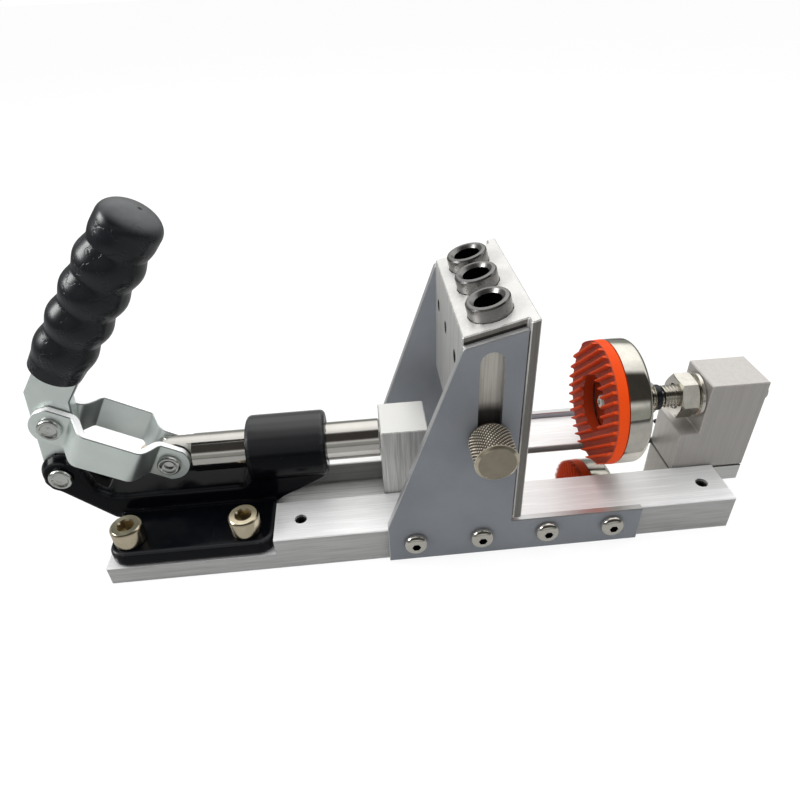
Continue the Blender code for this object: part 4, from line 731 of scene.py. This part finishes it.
def make_link(name, side, material):
    data = bmesh.new()
    turns = 16
    ends = [-link_half * math.cos(math.pi / 2 * i / turns) for i in range(turns)]
    count = 76
    stations = ends + [link_length * i / count for i in range(count + 1)] + [link_length - v for v in ends[::-1]]
    soft = 0.0003
    rings = []
    for along in stations:
        past = max(-along, along - link_length, 0)
        half = math.sqrt(max(link_half ** 2 - past ** 2, 0)) + 0.0006
        half = min(half, link_half)
        slope = (soft_bow(along + 0.0002) - soft_bow(along - 0.0002)) / 0.0004
        normal = Vector((-slope, 1)).normalized()
        thick = strip / 2
        section = []
        for across, lift in ((-half, -thick + soft), (-half + soft, -thick), (half - soft, -thick),
                             (half, -thick + soft), (half, thick - soft), (half - soft, thick),
                             (-half + soft, thick), (-half, thick - soft)):
            run = along + normal.x * lift
            out = tab_middle + soft_bow(along) + normal.y * lift
            place = crank_pin + link_run * run + link_across * across
            section.append(data.verts.new((place.x, side * out, place.z)))
        rings.append(section)
    for first, second in zip(rings, rings[1:]):
        for i in range(8):
            j = (i + 1) % 8
            data.faces.new((first[i], first[j], second[j], second[i]))
    data.faces.new(rings[0])
    data.faces.new(rings[-1])
    return settle(name, data, material, 40)


zinc = zinc_plate("zinc_plate", rims=0.92, metallic=0.75)
# A lighter copy for the far link: painted light on its inner face.
far_lit_zinc = zinc_plate("zinc_plate_far", tone=(0.86, 0.92, 0.89), rims=0.92, metallic=0.6)
for name, side, plate in (("near_link", -1, zinc), ("far_link", 1, far_lit_zinc)):
    link = make_link(name + "_strip", side, plate)
    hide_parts(name)
    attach(link, "links")
dress("handle_bar", zinc)

rivet_finish = zinc_plate("rivet_zinc", tone=(0.64, 0.65, 0.63), rough=0.24)
for node, body in (("ear_rivet", "frame"), ("crank_rivet", "links"), ("plunger_rivet", "carriage")):
    low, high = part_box(node)
    end = (high[1] - low[1]) / 2
    seat = end - 0.002
    rim = 0.0048
    half_profile = [(end - 0.0007, 0), (end - 0.0008, 0.0010), (end - 0.0011, 0.0018), (end - 0.0011, 0.0026),
                    (end - 0.0007, 0.0031), (end - 0.0001, 0.0035), (end, 0.0038), (end - 0.0001, 0.0041),
                    (end - 0.0004, 0.0045), (end - 0.0009, rim - 0.0001), (end - 0.0013, rim),
                    (seat + 0.0003, rim), (seat, rim - 0.0002), (seat, 0.0025)]
    profile = [(-along, radius) for along, radius in half_profile] + half_profile[::-1]
    rivet = turned(node + "_dished", profile, middle(node), (0, 1, 0), rivet_finish, sharp=50)
    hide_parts(node)
    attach(rivet, body)


# Plunger.
# Ground round steel, bright zinc plated, with two flats at its pinned end and a
# spigot that is fixed in the push block.
low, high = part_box("plunger")
rod_radius, rod_height = 0.0082, 0.0401
push_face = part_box("push_block")[0][0] - 0.0003
profile = [(low[0], 0), (low[0], rod_radius - 0.0012), (low[0] + 0.0012, rod_radius), (push_face - 0.0003, rod_radius),
           (push_face, rod_radius - 0.0003), (push_face, 0.005), (high[0] - 0.0005, 0.005), (high[0], 0.0045),
           (high[0], 0)]
plunger = turned("plunger_rod", profile, (0, 0, rod_height), (1, 0, 0), zinc_plate("plunger_zinc", (0.60, 0.58, 0.55), 0.13),
                 steps=96)


def block_of(name, low_corner, high_corner):
    data = bmesh.new()
    size = Vector(high_corner) - Vector(low_corner)
    centre = (Vector(high_corner) + Vector(low_corner)) / 2
    bmesh.ops.create_cube(data, size=1, matrix=Matrix.Translation(centre) @ Matrix.Diagonal((*size, 1)))
    return settle(name, data)


tang_half, tang_end = 0.003, plunger_pin.x + 0.010
flats = [block_of("flat", (low[0] - 0.002, a, 0), (tang_end, b, 0.1)) for a, b in ((tang_half, 0.02), (-0.02, -tang_half))]
carve(plunger, *flats)
nose = turned("nose", [(-0.02, 0), (-0.02, rod_radius - 0.0002), (0.02, rod_radius - 0.0002), (0.02, 0)],
              (plunger_pin.x, 0, rod_height), (0, 1, 0))
body_part = block_of("behind", (plunger_pin.x, -0.02, 0), (0.1, 0.02, 0.1))
carve(nose, body_part, how="UNION")
carve(plunger, nose, how="INTERSECT")
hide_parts("plunger")
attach(plunger, "carriage")


# Grip.
# A soft vinyl sleeve dipped over the bar: a plain collar, four round beads for
# the fingers and a domed head. Its top carries a painted sheen of lighter grey,
# and a pinhole is painted black for its shade.
grip_low, grip_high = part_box("handle_grip")
bend = crank_pin + Vector((math.sin(math.radians(7.8)), 0, math.cos(math.radians(7.8)))) * 0.0123
grip_tilt = math.radians(36.1)
grip_up = Vector((math.sin(grip_tilt), 0, math.cos(grip_tilt)))
grip_side = Vector((math.cos(grip_tilt), 0, -math.sin(grip_tilt)))
collar_at, bead_from, bead_pitch, bead_count, head_end = 0.0123, 0.0175, 0.0135, 4, 0.0879
bead_radii, valley_radii = (0.0112, 0.0115, 0.0117, 0.0119), (0.0102, 0.0100, 0.0101, 0.0105, 0.0104)
head_radius = 0.0112


def grip_radius(along):
    """Radius at a distance above the bend: collar, beads with sharp valleys between, domed head."""
    if along < bead_from:
        return 0.0098 + 0.0004 * (along - collar_at) / (bead_from - collar_at)
    bead = (along - bead_from) / bead_pitch
    number = int(bead)
    if number < bead_count:
        share = bead - number
        valley = valley_radii[number] * (1 - share) + valley_radii[number + 1] * share
        swell = bead_radii[number] - (valley_radii[number] + valley_radii[number + 1]) / 2
        return valley + swell * (0.5 - 0.5 * math.cos(2 * math.pi * share)) ** 0.7
    head_from = bead_from + bead_pitch * bead_count
    dome_from = head_end - 0.0075
    rise = min((along - head_from) / 0.005, 1)
    radius = valley_radii[-1] + (head_radius - valley_radii[-1]) * math.sin(math.pi / 2 * rise)
    if along > dome_from:
        radius *= math.sqrt(max(0, 1 - ((along - dome_from) / (head_end - dome_from)) ** 2.3))
    return radius


def grip_lean(along):
    return -0.0013 + 0.0034 * (max(along - 0.008, 0) / 0.08) ** 1.25


data = bmesh.new()
rows, sides = 220, 64
rings = []
for row in range(rows + 1):
    share = row / rows
    along = collar_at + (head_end - collar_at) * (1 - (1 - share) ** 1.3)
    centre = bend + grip_up * along + grip_side * grip_lean(along)
    radius = grip_radius(along)
    if row == rows:
        rings.append([data.verts.new(centre)])
        continue
    ring = []
    for i in range(sides):
        angle = 2 * math.pi * i / sides
        ring.append(data.verts.new(centre + (grip_side * math.cos(angle) + Vector((0, 1, 0)) * math.sin(angle)) * radius))
    rings.append(ring)
for first, second in zip(rings, rings[1:]):
    for i in range(sides):
        j = (i + 1) % sides
        data.faces.new(list(dict.fromkeys((first[i], first[j], second[j % len(second)], second[i % len(second)]))))
data.faces.new(rings[0])


pinhole = (-0.08944, -0.00076, 0.14478)


def vinyl(name):
    material, tree, shader = new_finish(name)
    shader.inputs["Specular IOR Level"].default_value = 0.30
    shader.inputs["Coat Weight"].default_value = 0.2
    shader.inputs["Coat Roughness"].default_value = 0.24
    cloud = grain(tree, place_on(tree), 55.0, 4.0, 0.6)
    fine = grain(tree, place_on(tree), 1900.0, 2.0)
    facing = add_node(tree, "ShaderNodeTexCoord", output=1)
    endways = add_node(tree, "ShaderNodeVectorMath", {"operation": "DOT_PRODUCT"}, facing, grip_up, output=1)
    to_head = add_node(tree, "ShaderNodeVectorMath", {"operation": "DISTANCE"}, place_on(tree),
                       bend + grip_up * head_end, output=1)
    # Painted sheen: faces looking along the grip near the head are lighter grey and rougher.
    head_sheen = endways.step(0.35, 0.95) * (1 - to_head.step(0.010, 0.016)) * (cloud.step(0.30, 0.62) * 0.45 + 0.55)
    to_pit = add_node(tree, "ShaderNodeVectorMath", {"operation": "DISTANCE"}, place_on(tree), pinhole, output=1)
    # Painted shade: the pinhole is black.
    pit = 1 - to_pit.step(0.00050, 0.00090)
    black = mix_colours(cloud, (0.002, 0.0028, 0.0045), (0.005, 0.007, 0.010))
    feed(tree, shader, "Base Color", mix_colours(pit, mix_colours(head_sheen * 0.9, black, (0.115, 0.117, 0.120)), (0, 0, 0)))
    feed(tree, shader, "Roughness", cloud * 0.14 + fine * 0.05 + 0.22 + head_sheen * 0.25)
    folds = grain(tree, place_on(tree), 115.0, 3.0, 0.55)
    creases = (1 - (folds - 0.5).size().step(0.004, 0.030)) * cloud.step(0.46, 0.60)
    rough_up(tree, shader, cloud + fine * 0.02 - pit * 2 - creases * 0.9, 0.7, 2.0e-4)
    return material


grip = settle("vinyl_grip", data, vinyl("black_vinyl"), 60)
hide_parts("handle_grip")
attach(grip, "handle")


# Drill bushings.
# Hardened steel sleeves, ground outside and bored for the drill. Both rims are
# chamfered bright.
def bushing_steel(name):
    material, tree, shader = new_finish(name)
    shader.inputs["Metallic"].default_value = 1.0
    cloud = grain(tree, place_on(tree), 150.0, 3.0, 0.5)
    rings_around = grain(tree, place_on(tree, (300.0, 300.0, 3000.0), (0, math.radians(-15), 0)), 1.0, 2.0)
    inside = add_node(tree, "ShaderNodeAttribute", {"attribute_name": "inside"}, output=2)
    steel = mix_colours(cloud, (0.21, 0.205, 0.20), (0.29, 0.285, 0.28))
    # Painted shade: the marked bore faces are nearly black.
    feed(tree, shader, "Base Color", mix_colours(inside * 0.9, steel, (0.012, 0.012, 0.012)))
    feed(tree, shader, "Roughness", cloud * 0.08 + rings_around * 0.08 + 0.20)
    rough_up(tree, shader, rings_around, 1.0, 1.5e-6)
    return material


slope = math.radians(15)
bushing_up = Vector((-math.sin(slope), 0, math.cos(slope)))
bushing_names = [f"drill_bushing_{i}" for i in range(1, 4)]
sleeve, outer, inner = 0.0295, 0.008, 0.005
profile = [(0, inner + 0.0003), (0, outer - 0.0005), (0.0005, outer), (sleeve - 0.0008, outer),
           (sleeve - 0.0002, outer - 0.0004), (sleeve, outer - 0.0008), (sleeve, inner + 0.0013),
           (sleeve - 0.0003, inner + 0.0009), (sleeve - 0.0012, inner), (0.0003, inner)]
master = turned("bushing", profile, (0, 0, -sleeve / 2), (0, 0, 1), sharp=25)
# Marks the bore's faces for painted shade.
bore_mark = master.data.attributes.new("inside", "FLOAT", "FACE")
for face, entry in zip(master.data.polygons, bore_mark.data):
    entry.value = float(math.hypot(face.center.x, face.center.y) < inner + 0.0001)
bushings = set_fasteners("guide_bushings", master, [middle(n) for n in bushing_names], bushing_steel("ground_steel"),
                         (0, -slope, 0), sharp=25)
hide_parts(*bushing_names)
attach(bushings, "guide")


# Thumb screw.
# A knurled nickel knob with a plain turned face. Its shank runs through the slot
# into the guide block.
low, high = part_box("thumb_screw")
knob_radius = 0.008
knob_centre = middle("thumb_screw")
knob_face = low[1]
knob_length, shank = 0.0147, 0.004
teeth, fine_steps = 31, 10
knurl_low, knurl_high, knurl_depth = 0.0010, 0.0130, 0.00042


def triangle(value):
    """A triangle wave from 0 to 1 with a period of 1."""
    return abs(2 * (value - math.floor(value + 0.5)))


def knob_surface(along, angle):
    """Radius of the knurled knob: two crossing cuts leave raised diamonds."""
    edge = min(along - knurl_low, knurl_high - along)
    if edge < 0:
        return knob_radius - 0.0003 if along > 0.0004 else knob_radius - 0.0008
    turn = angle / (2 * math.pi) * teeth
    lead = along * teeth / (2 * math.pi * knob_radius)
    ridge = min(triangle(turn + lead), triangle(turn - lead))
    cut = knurl_depth * (1 - ridge) * min(edge / 0.0004, 1)
    return knob_radius - cut


data = bmesh.new()
around = teeth * fine_steps
stations = [0.0, 0.0003, 0.0008] + [knurl_low + (knurl_high - knurl_low) * i / 72 for i in range(73)] + [0.0133, 0.0138]
rings = [[data.verts.new((0, 0, 0))]]
for along in stations:
    inset = 0.0004 if along == 0.0 else 0.0
    ring = []
    for i in range(around):
        angle = 2 * math.pi * i / around
        radius = knob_surface(along, angle) - inset
        ring.append(data.verts.new((radius * math.cos(angle), radius * math.sin(angle), along)))
    rings.append(ring)
for along, radius in ((knob_length, 0.0064), (knob_length, shank), (knob_length + 0.0172, shank), (knob_length + 0.018, shank - 0.0008)):
    ring = []
    for i in range(around):
        angle = 2 * math.pi * i / around
        ring.append(data.verts.new((radius * math.cos(angle), radius * math.sin(angle), along)))
    rings.append(ring)
rings.append([data.verts.new((0, 0, knob_length + 0.018))])
for first, second in zip(rings, rings[1:]):
    for i in range(around):
        j = (i + 1) % around
        ends = (first[i % len(first)], first[j % len(first)], second[j % len(second)], second[i % len(second)])
        data.faces.new(list(dict.fromkeys(ends)))
turn = Vector((0, 1, 0)).to_track_quat("Z", "Y").to_matrix().to_4x4()
bmesh.ops.transform(data, verts=data.verts,
                    matrix=Matrix.Translation((knob_centre.x, knob_face, knob_centre.z)) @ turn)
knob_finish = nickel("knob_nickel", tone=(0.74, 0.66, 0.52), rough=0.24)
tree = knob_finish.node_tree
shader = tree.nodes["Principled BSDF"]
parts = tree.nodes.new("ShaderNodeSeparateXYZ")
tree.links.new(place_on(tree).socket, parts.inputs[0])
out_x, out_z = Wire(tree, parts.outputs[0]) - knob_centre.x, Wire(tree, parts.outputs[2]) - knob_centre.z
knob_out = (out_x * out_x + out_z * out_z) ** 0.5
raised = knob_out.step(knob_radius - 0.00024, knob_radius - 0.00007)
knurled = Wire(tree, parts.outputs[1]).step(knob_face + 0.0008, knob_face + 0.0011)
flat_face = 1 - knob_out.step(knob_radius - 0.0013, knob_radius - 0.0011)
bright = Wire(tree, shader.inputs["Base Color"].links[0].from_socket)
shade = ((1 - raised) * knurled * 0.96).most(flat_face * 0.50)
feed(tree, shader, "Base Color", mix_colours(shade, bright, (0.045, 0.038, 0.03)))
feed(tree, shader, "Metallic", 1 - knurled * 0.55)
feed(tree, shader, "Roughness", 0.24 + knurled * 0.20)
knob = settle("knurled_thumb_screw", data, knob_finish, 22)
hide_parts("thumb_screw")
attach(knob, "thumb")


# Stud, neck ring, lock nut and washer.
# A steel stud with a cut thread, nickel plated, that turns in the stop block.
# The nut locks it against the washer.
low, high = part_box("stud")
stud_height = (low[2] + high[2]) / 2
stud_radius, pitch, thread_depth = 0.005, 0.0015, 0.00078
spigot_radius, spigot_length = 0.003, 0.012
neck_in = 0.0020
thread_from, thread_to = low[0] + spigot_length - neck_in, high[0]
data = bmesh.new()
around = 48
rows = int((thread_to - thread_from) / pitch * 8)
rings = [[data.verts.new((low[0], 0, 0))]]


def stud_ring(along, radii):
    ring = []
    for i in range(around):
        angle = 2 * math.pi * i / around
        ring.append(data.verts.new((along, radii[i] * math.cos(angle), radii[i] * math.sin(angle))))
    return ring


rings.append(stud_ring(low[0], [spigot_radius] * around))
rings.append(stud_ring(thread_from, [spigot_radius] * around))
for row in range(rows + 1):
    along = thread_from + (thread_to - thread_from) * row / rows
    fade = min(1, (along - thread_from) / 0.0008, (thread_to - along) / 0.0010)
    radii = []
    for i in range(around):
        wave = triangle((along - thread_from) / pitch - i / around)
        crest = min(wave * 1.25, 1)
        radii.append(stud_radius - thread_depth * (1 - crest) - 0.0007 * (1 - fade))
    rings.append(stud_ring(along, radii))
rings.append([data.verts.new((high[0], 0, 0))])
for first, second in zip(rings, rings[1:]):
    for i in range(around):
        j = (i + 1) % around
        ends = (first[i % len(first)], first[j % len(first)], second[j % len(second)], second[i % len(second)])
        data.faces.new(list(dict.fromkeys(ends)))
bmesh.ops.translate(data, verts=data.verts, vec=(0, 0, stud_height))
stud = settle("threaded_stud", data, nickel("stud_nickel", tone=(0.66, 0.63, 0.57), rough=0.18), 60)
carve(stud, hexagon(0.005, (high[0], 0, stud_height), (-1, 0, 0), 0.005), sharp=60)
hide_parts("stud")
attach(stud, "stud")

low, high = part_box("neck_ring")
neck, bore = 0.0056, 0.0033
width = high[0] - low[0]
profile = [(0, bore), (0, neck - 0.0005), (0.0002, neck - 0.0001), (0.0006, neck), (width - 0.0006, neck),
           (width - 0.0002, neck - 0.0001), (width, neck - 0.0005), (width, bore)]
neck_ring = turned("neck_ring_black", profile, (low[0] - neck_in, 0, stud_height), (1, 0, 0), vinyl("neck_black"))
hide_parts("neck_ring")
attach(neck_ring, "stud")

low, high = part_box("washer")
washer_radius, washer_bore = 0.01, 0.0053
width = high[0] - low[0]
profile = [(0, washer_bore), (0, washer_radius - 0.0003), (0.0002, washer_radius), (width - 0.0002, washer_radius),
           (width, washer_radius - 0.0003), (width, washer_bore)]
washer = turned("plain_washer", profile, (low[0], 0, stud_height), (1, 0, 0), nickel("washer_nickel"))
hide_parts("washer")
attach(washer, "carriage")

low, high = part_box("lock_nut")
width = high[0] - low[0]
across = 0.017
corner = across / math.sqrt(3)
flat = across / 2
chamfer = (corner - flat) * math.tan(math.radians(30))
nut = turned("hexagon_nut", [(0, 0), (0, corner), (width, corner), (width, 0)], (low[0], 0, stud_height), (1, 0, 0),
             nickel("nut_nickel", tone=(0.74, 0.71, 0.65), rough=0.16), steps=6)
rounded = turned("rounded", [(0, 0), (0, flat - 0.0003), (chamfer, corner), (width - chamfer, corner),
                             (width, flat - 0.0003), (width, 0)], (low[0], 0, stud_height), (1, 0, 0), steps=96)
carve(nut, rounded, how="INTERSECT", sharp=20)
bore_profile = [(-0.001, 0), (-0.001, 0.0062), (0.0009, 0.00515), (width - 0.0009, 0.00515), (width + 0.001, 0.0062),
                (width + 0.001, 0)]
carve(nut, turned("nut_bore", bore_profile, (low[0], 0, stud_height), (1, 0, 0)), sharp=20)
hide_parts("lock_nut")
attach(nut, "nut")


# Pad cup.
# Pressed steel, polished and nickel plated: a straight rim that turns in over a
# soft shoulder to a shallow cone and a small hub.
low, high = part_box("pad_cup")
cup_radius = 0.027
face = low[0]
shoulder, hub = face + 0.0100, high[0] - neck_in
profile = [(face, 0), (face, cup_radius - 0.0005), (face + 0.0002, cup_radius - 0.0001), (face + 0.0006, cup_radius)]
bend_radius = 0.0024
for i in range(13):
    angle = math.pi / 2 * i / 12
    profile.append((shoulder - bend_radius + bend_radius * math.sin(angle),
                    cup_radius - bend_radius + bend_radius * math.cos(angle)))
profile.append((shoulder, 0.0222))
cone_steps = 24
for i in range(1, cone_steps + 1):
    share = i / cone_steps
    radius = 0.007 + (0.022 - 0.007) * (1 - share) ** 1.25
    profile.append((shoulder + (hub - shoulder - 0.0006) * share ** 1.1, radius))
profile += [(hub - 0.0002, 0.0067), (hub, 0.0063), (hub, 0)]
cup = turned("nickel_cup", profile, (0, 0, stud_height), (1, 0, 0),
             nickel("cup_nickel", tone=(0.74, 0.71, 0.64), rough=0.07, wear=0.03), steps=144, sharp=40)
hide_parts("pad_cup")
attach(cup, "pad")

low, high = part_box("pad_screw")
head = 0.0018
profile = [(-0.0075, 0), (-0.0075, 0.0015), (0, 0.0015), (0, 0.0035)] + dome(0.0035, 0.0018, 0.0003, head) + [(head, 0)]
pad_screw = turned("cup_screw", profile, (low[0] + head, 0, stud_height), (-1, 0, 0), screw_finish)
carve(pad_screw, hexagon(0.002, (low[0], 0, stud_height), (1, 0, 0), 0.0010))
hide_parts("pad_screw")
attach(pad_screw, "pad")


# Rubber pad.
# Moulded orange rubber, bonded to the cup. Its face is cut into thin leaning
# fins that run at a slant and grip the board; the face turns a darker brown-red
# towards the groove floors, and painted shade darkens the inside of the centre
# hole.
low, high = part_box("grip_pad")
pad_radius, hole_radius = 0.027, 0.0122
fin_count, fin_turn = 14, math.radians(43.5)
fin_tip, pad_back = low[0], high[0]
groove = fin_tip + 0.0019
profile = [(pad_back, hole_radius), (pad_back, pad_radius), (groove, pad_radius - 0.0002), (fin_tip, pad_radius - 0.0004),
           (fin_tip, hole_radius + 0.0003), (groove, hole_radius)]
pad = turned("rubber_pad", profile, (0, 0, stud_height), (1, 0, 0), steps=144, sharp=30)
pitch_across = 2 * pad_radius / fin_count
outline = []
first_edge = -pad_radius - pitch_across * 0.5
for i in range(fin_count + 2):
    edge = first_edge + i * pitch_across
    outline += [(groove, edge + pitch_across * 0.26), (groove - 0.0003, edge + pitch_across * 0.34),
                (fin_tip - 0.001, edge + pitch_across * 0.60),
                (fin_tip - 0.001, edge + pitch_across * 0.66), (groove - 0.0002, edge + pitch_across * 0.70),
                (groove, edge + pitch_across * 0.76)]
outline = outline[:-2]
outline = [(fin_tip - 0.004, outline[0][1])] + outline + [(fin_tip - 0.004, outline[-1][1])]
data = bmesh.new()
face_loop = data.faces.new([data.verts.new((x, -0.03, across)) for x, across in outline])
grown = bmesh.ops.extrude_face_region(data, geom=[face_loop])
bmesh.ops.translate(data, verts=[v for v in grown["geom"] if isinstance(v, bmesh.types.BMVert)], vec=(0, 0.06, 0))
bmesh.ops.transform(data, verts=data.verts,
                    matrix=Matrix.Translation((0, 0, stud_height)) @ Matrix.Rotation(-fin_turn, 4, "X"))
carve(pad, settle("grooves", data), sharp=30)


def orange_rubber(name):
    material, tree, shader = new_finish(name)
    shader.inputs["Specular IOR Level"].default_value = 0.10
    spot = place_on(tree)
    parts = tree.nodes.new("ShaderNodeSeparateXYZ")
    tree.links.new(spot.socket, parts.inputs[0])
    depth = Wire(tree, parts.outputs[0]).step(fin_tip + 0.0003, groove + 0.0001)
    face_side = 1 - Wire(tree, parts.outputs[0]).step(groove + 0.0001, groove + 0.0006)
    cloud = grain(tree, spot, 120.0, 4.0, 0.6)
    speckle = grain(tree, spot, 700.0, 3.0)
    tip_colour = mix_colours(cloud, (0.74, 0.060, 0.004), (0.82, 0.078, 0.006))
    deep_colour = mix_colours(speckle.step(0.3, 0.7), (0.30, 0.055, 0.030), (0.46, 0.070, 0.030))
    from_axis_y, from_axis_z = Wire(tree, parts.outputs[1]), Wire(tree, parts.outputs[2]) - stud_height
    off_axis = (from_axis_y * from_axis_y + from_axis_z * from_axis_z) ** 0.5
    # Painted shade inside the centre hole, over a face that is darker brown-red towards the groove floors.
    hole_shade = (1 - off_axis.step(hole_radius + 0.0001, hole_radius + 0.0004)) * depth * 0.7
    colour = mix_colours(hole_shade, mix_colours(depth * face_side * 0.85, tip_colour, deep_colour), (0.22, 0.018, 0.006))
    feed(tree, shader, "Base Color", colour)
    feed(tree, shader, "Roughness", cloud * 0.15 + 0.42)
    rough_up(tree, shader, speckle + cloud, 0.8, 3e-5)
    return material


pad.data.materials.clear()
pad.data.materials.append(orange_rubber("orange_rubber"))
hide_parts("grip_pad")
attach(pad, "pad")
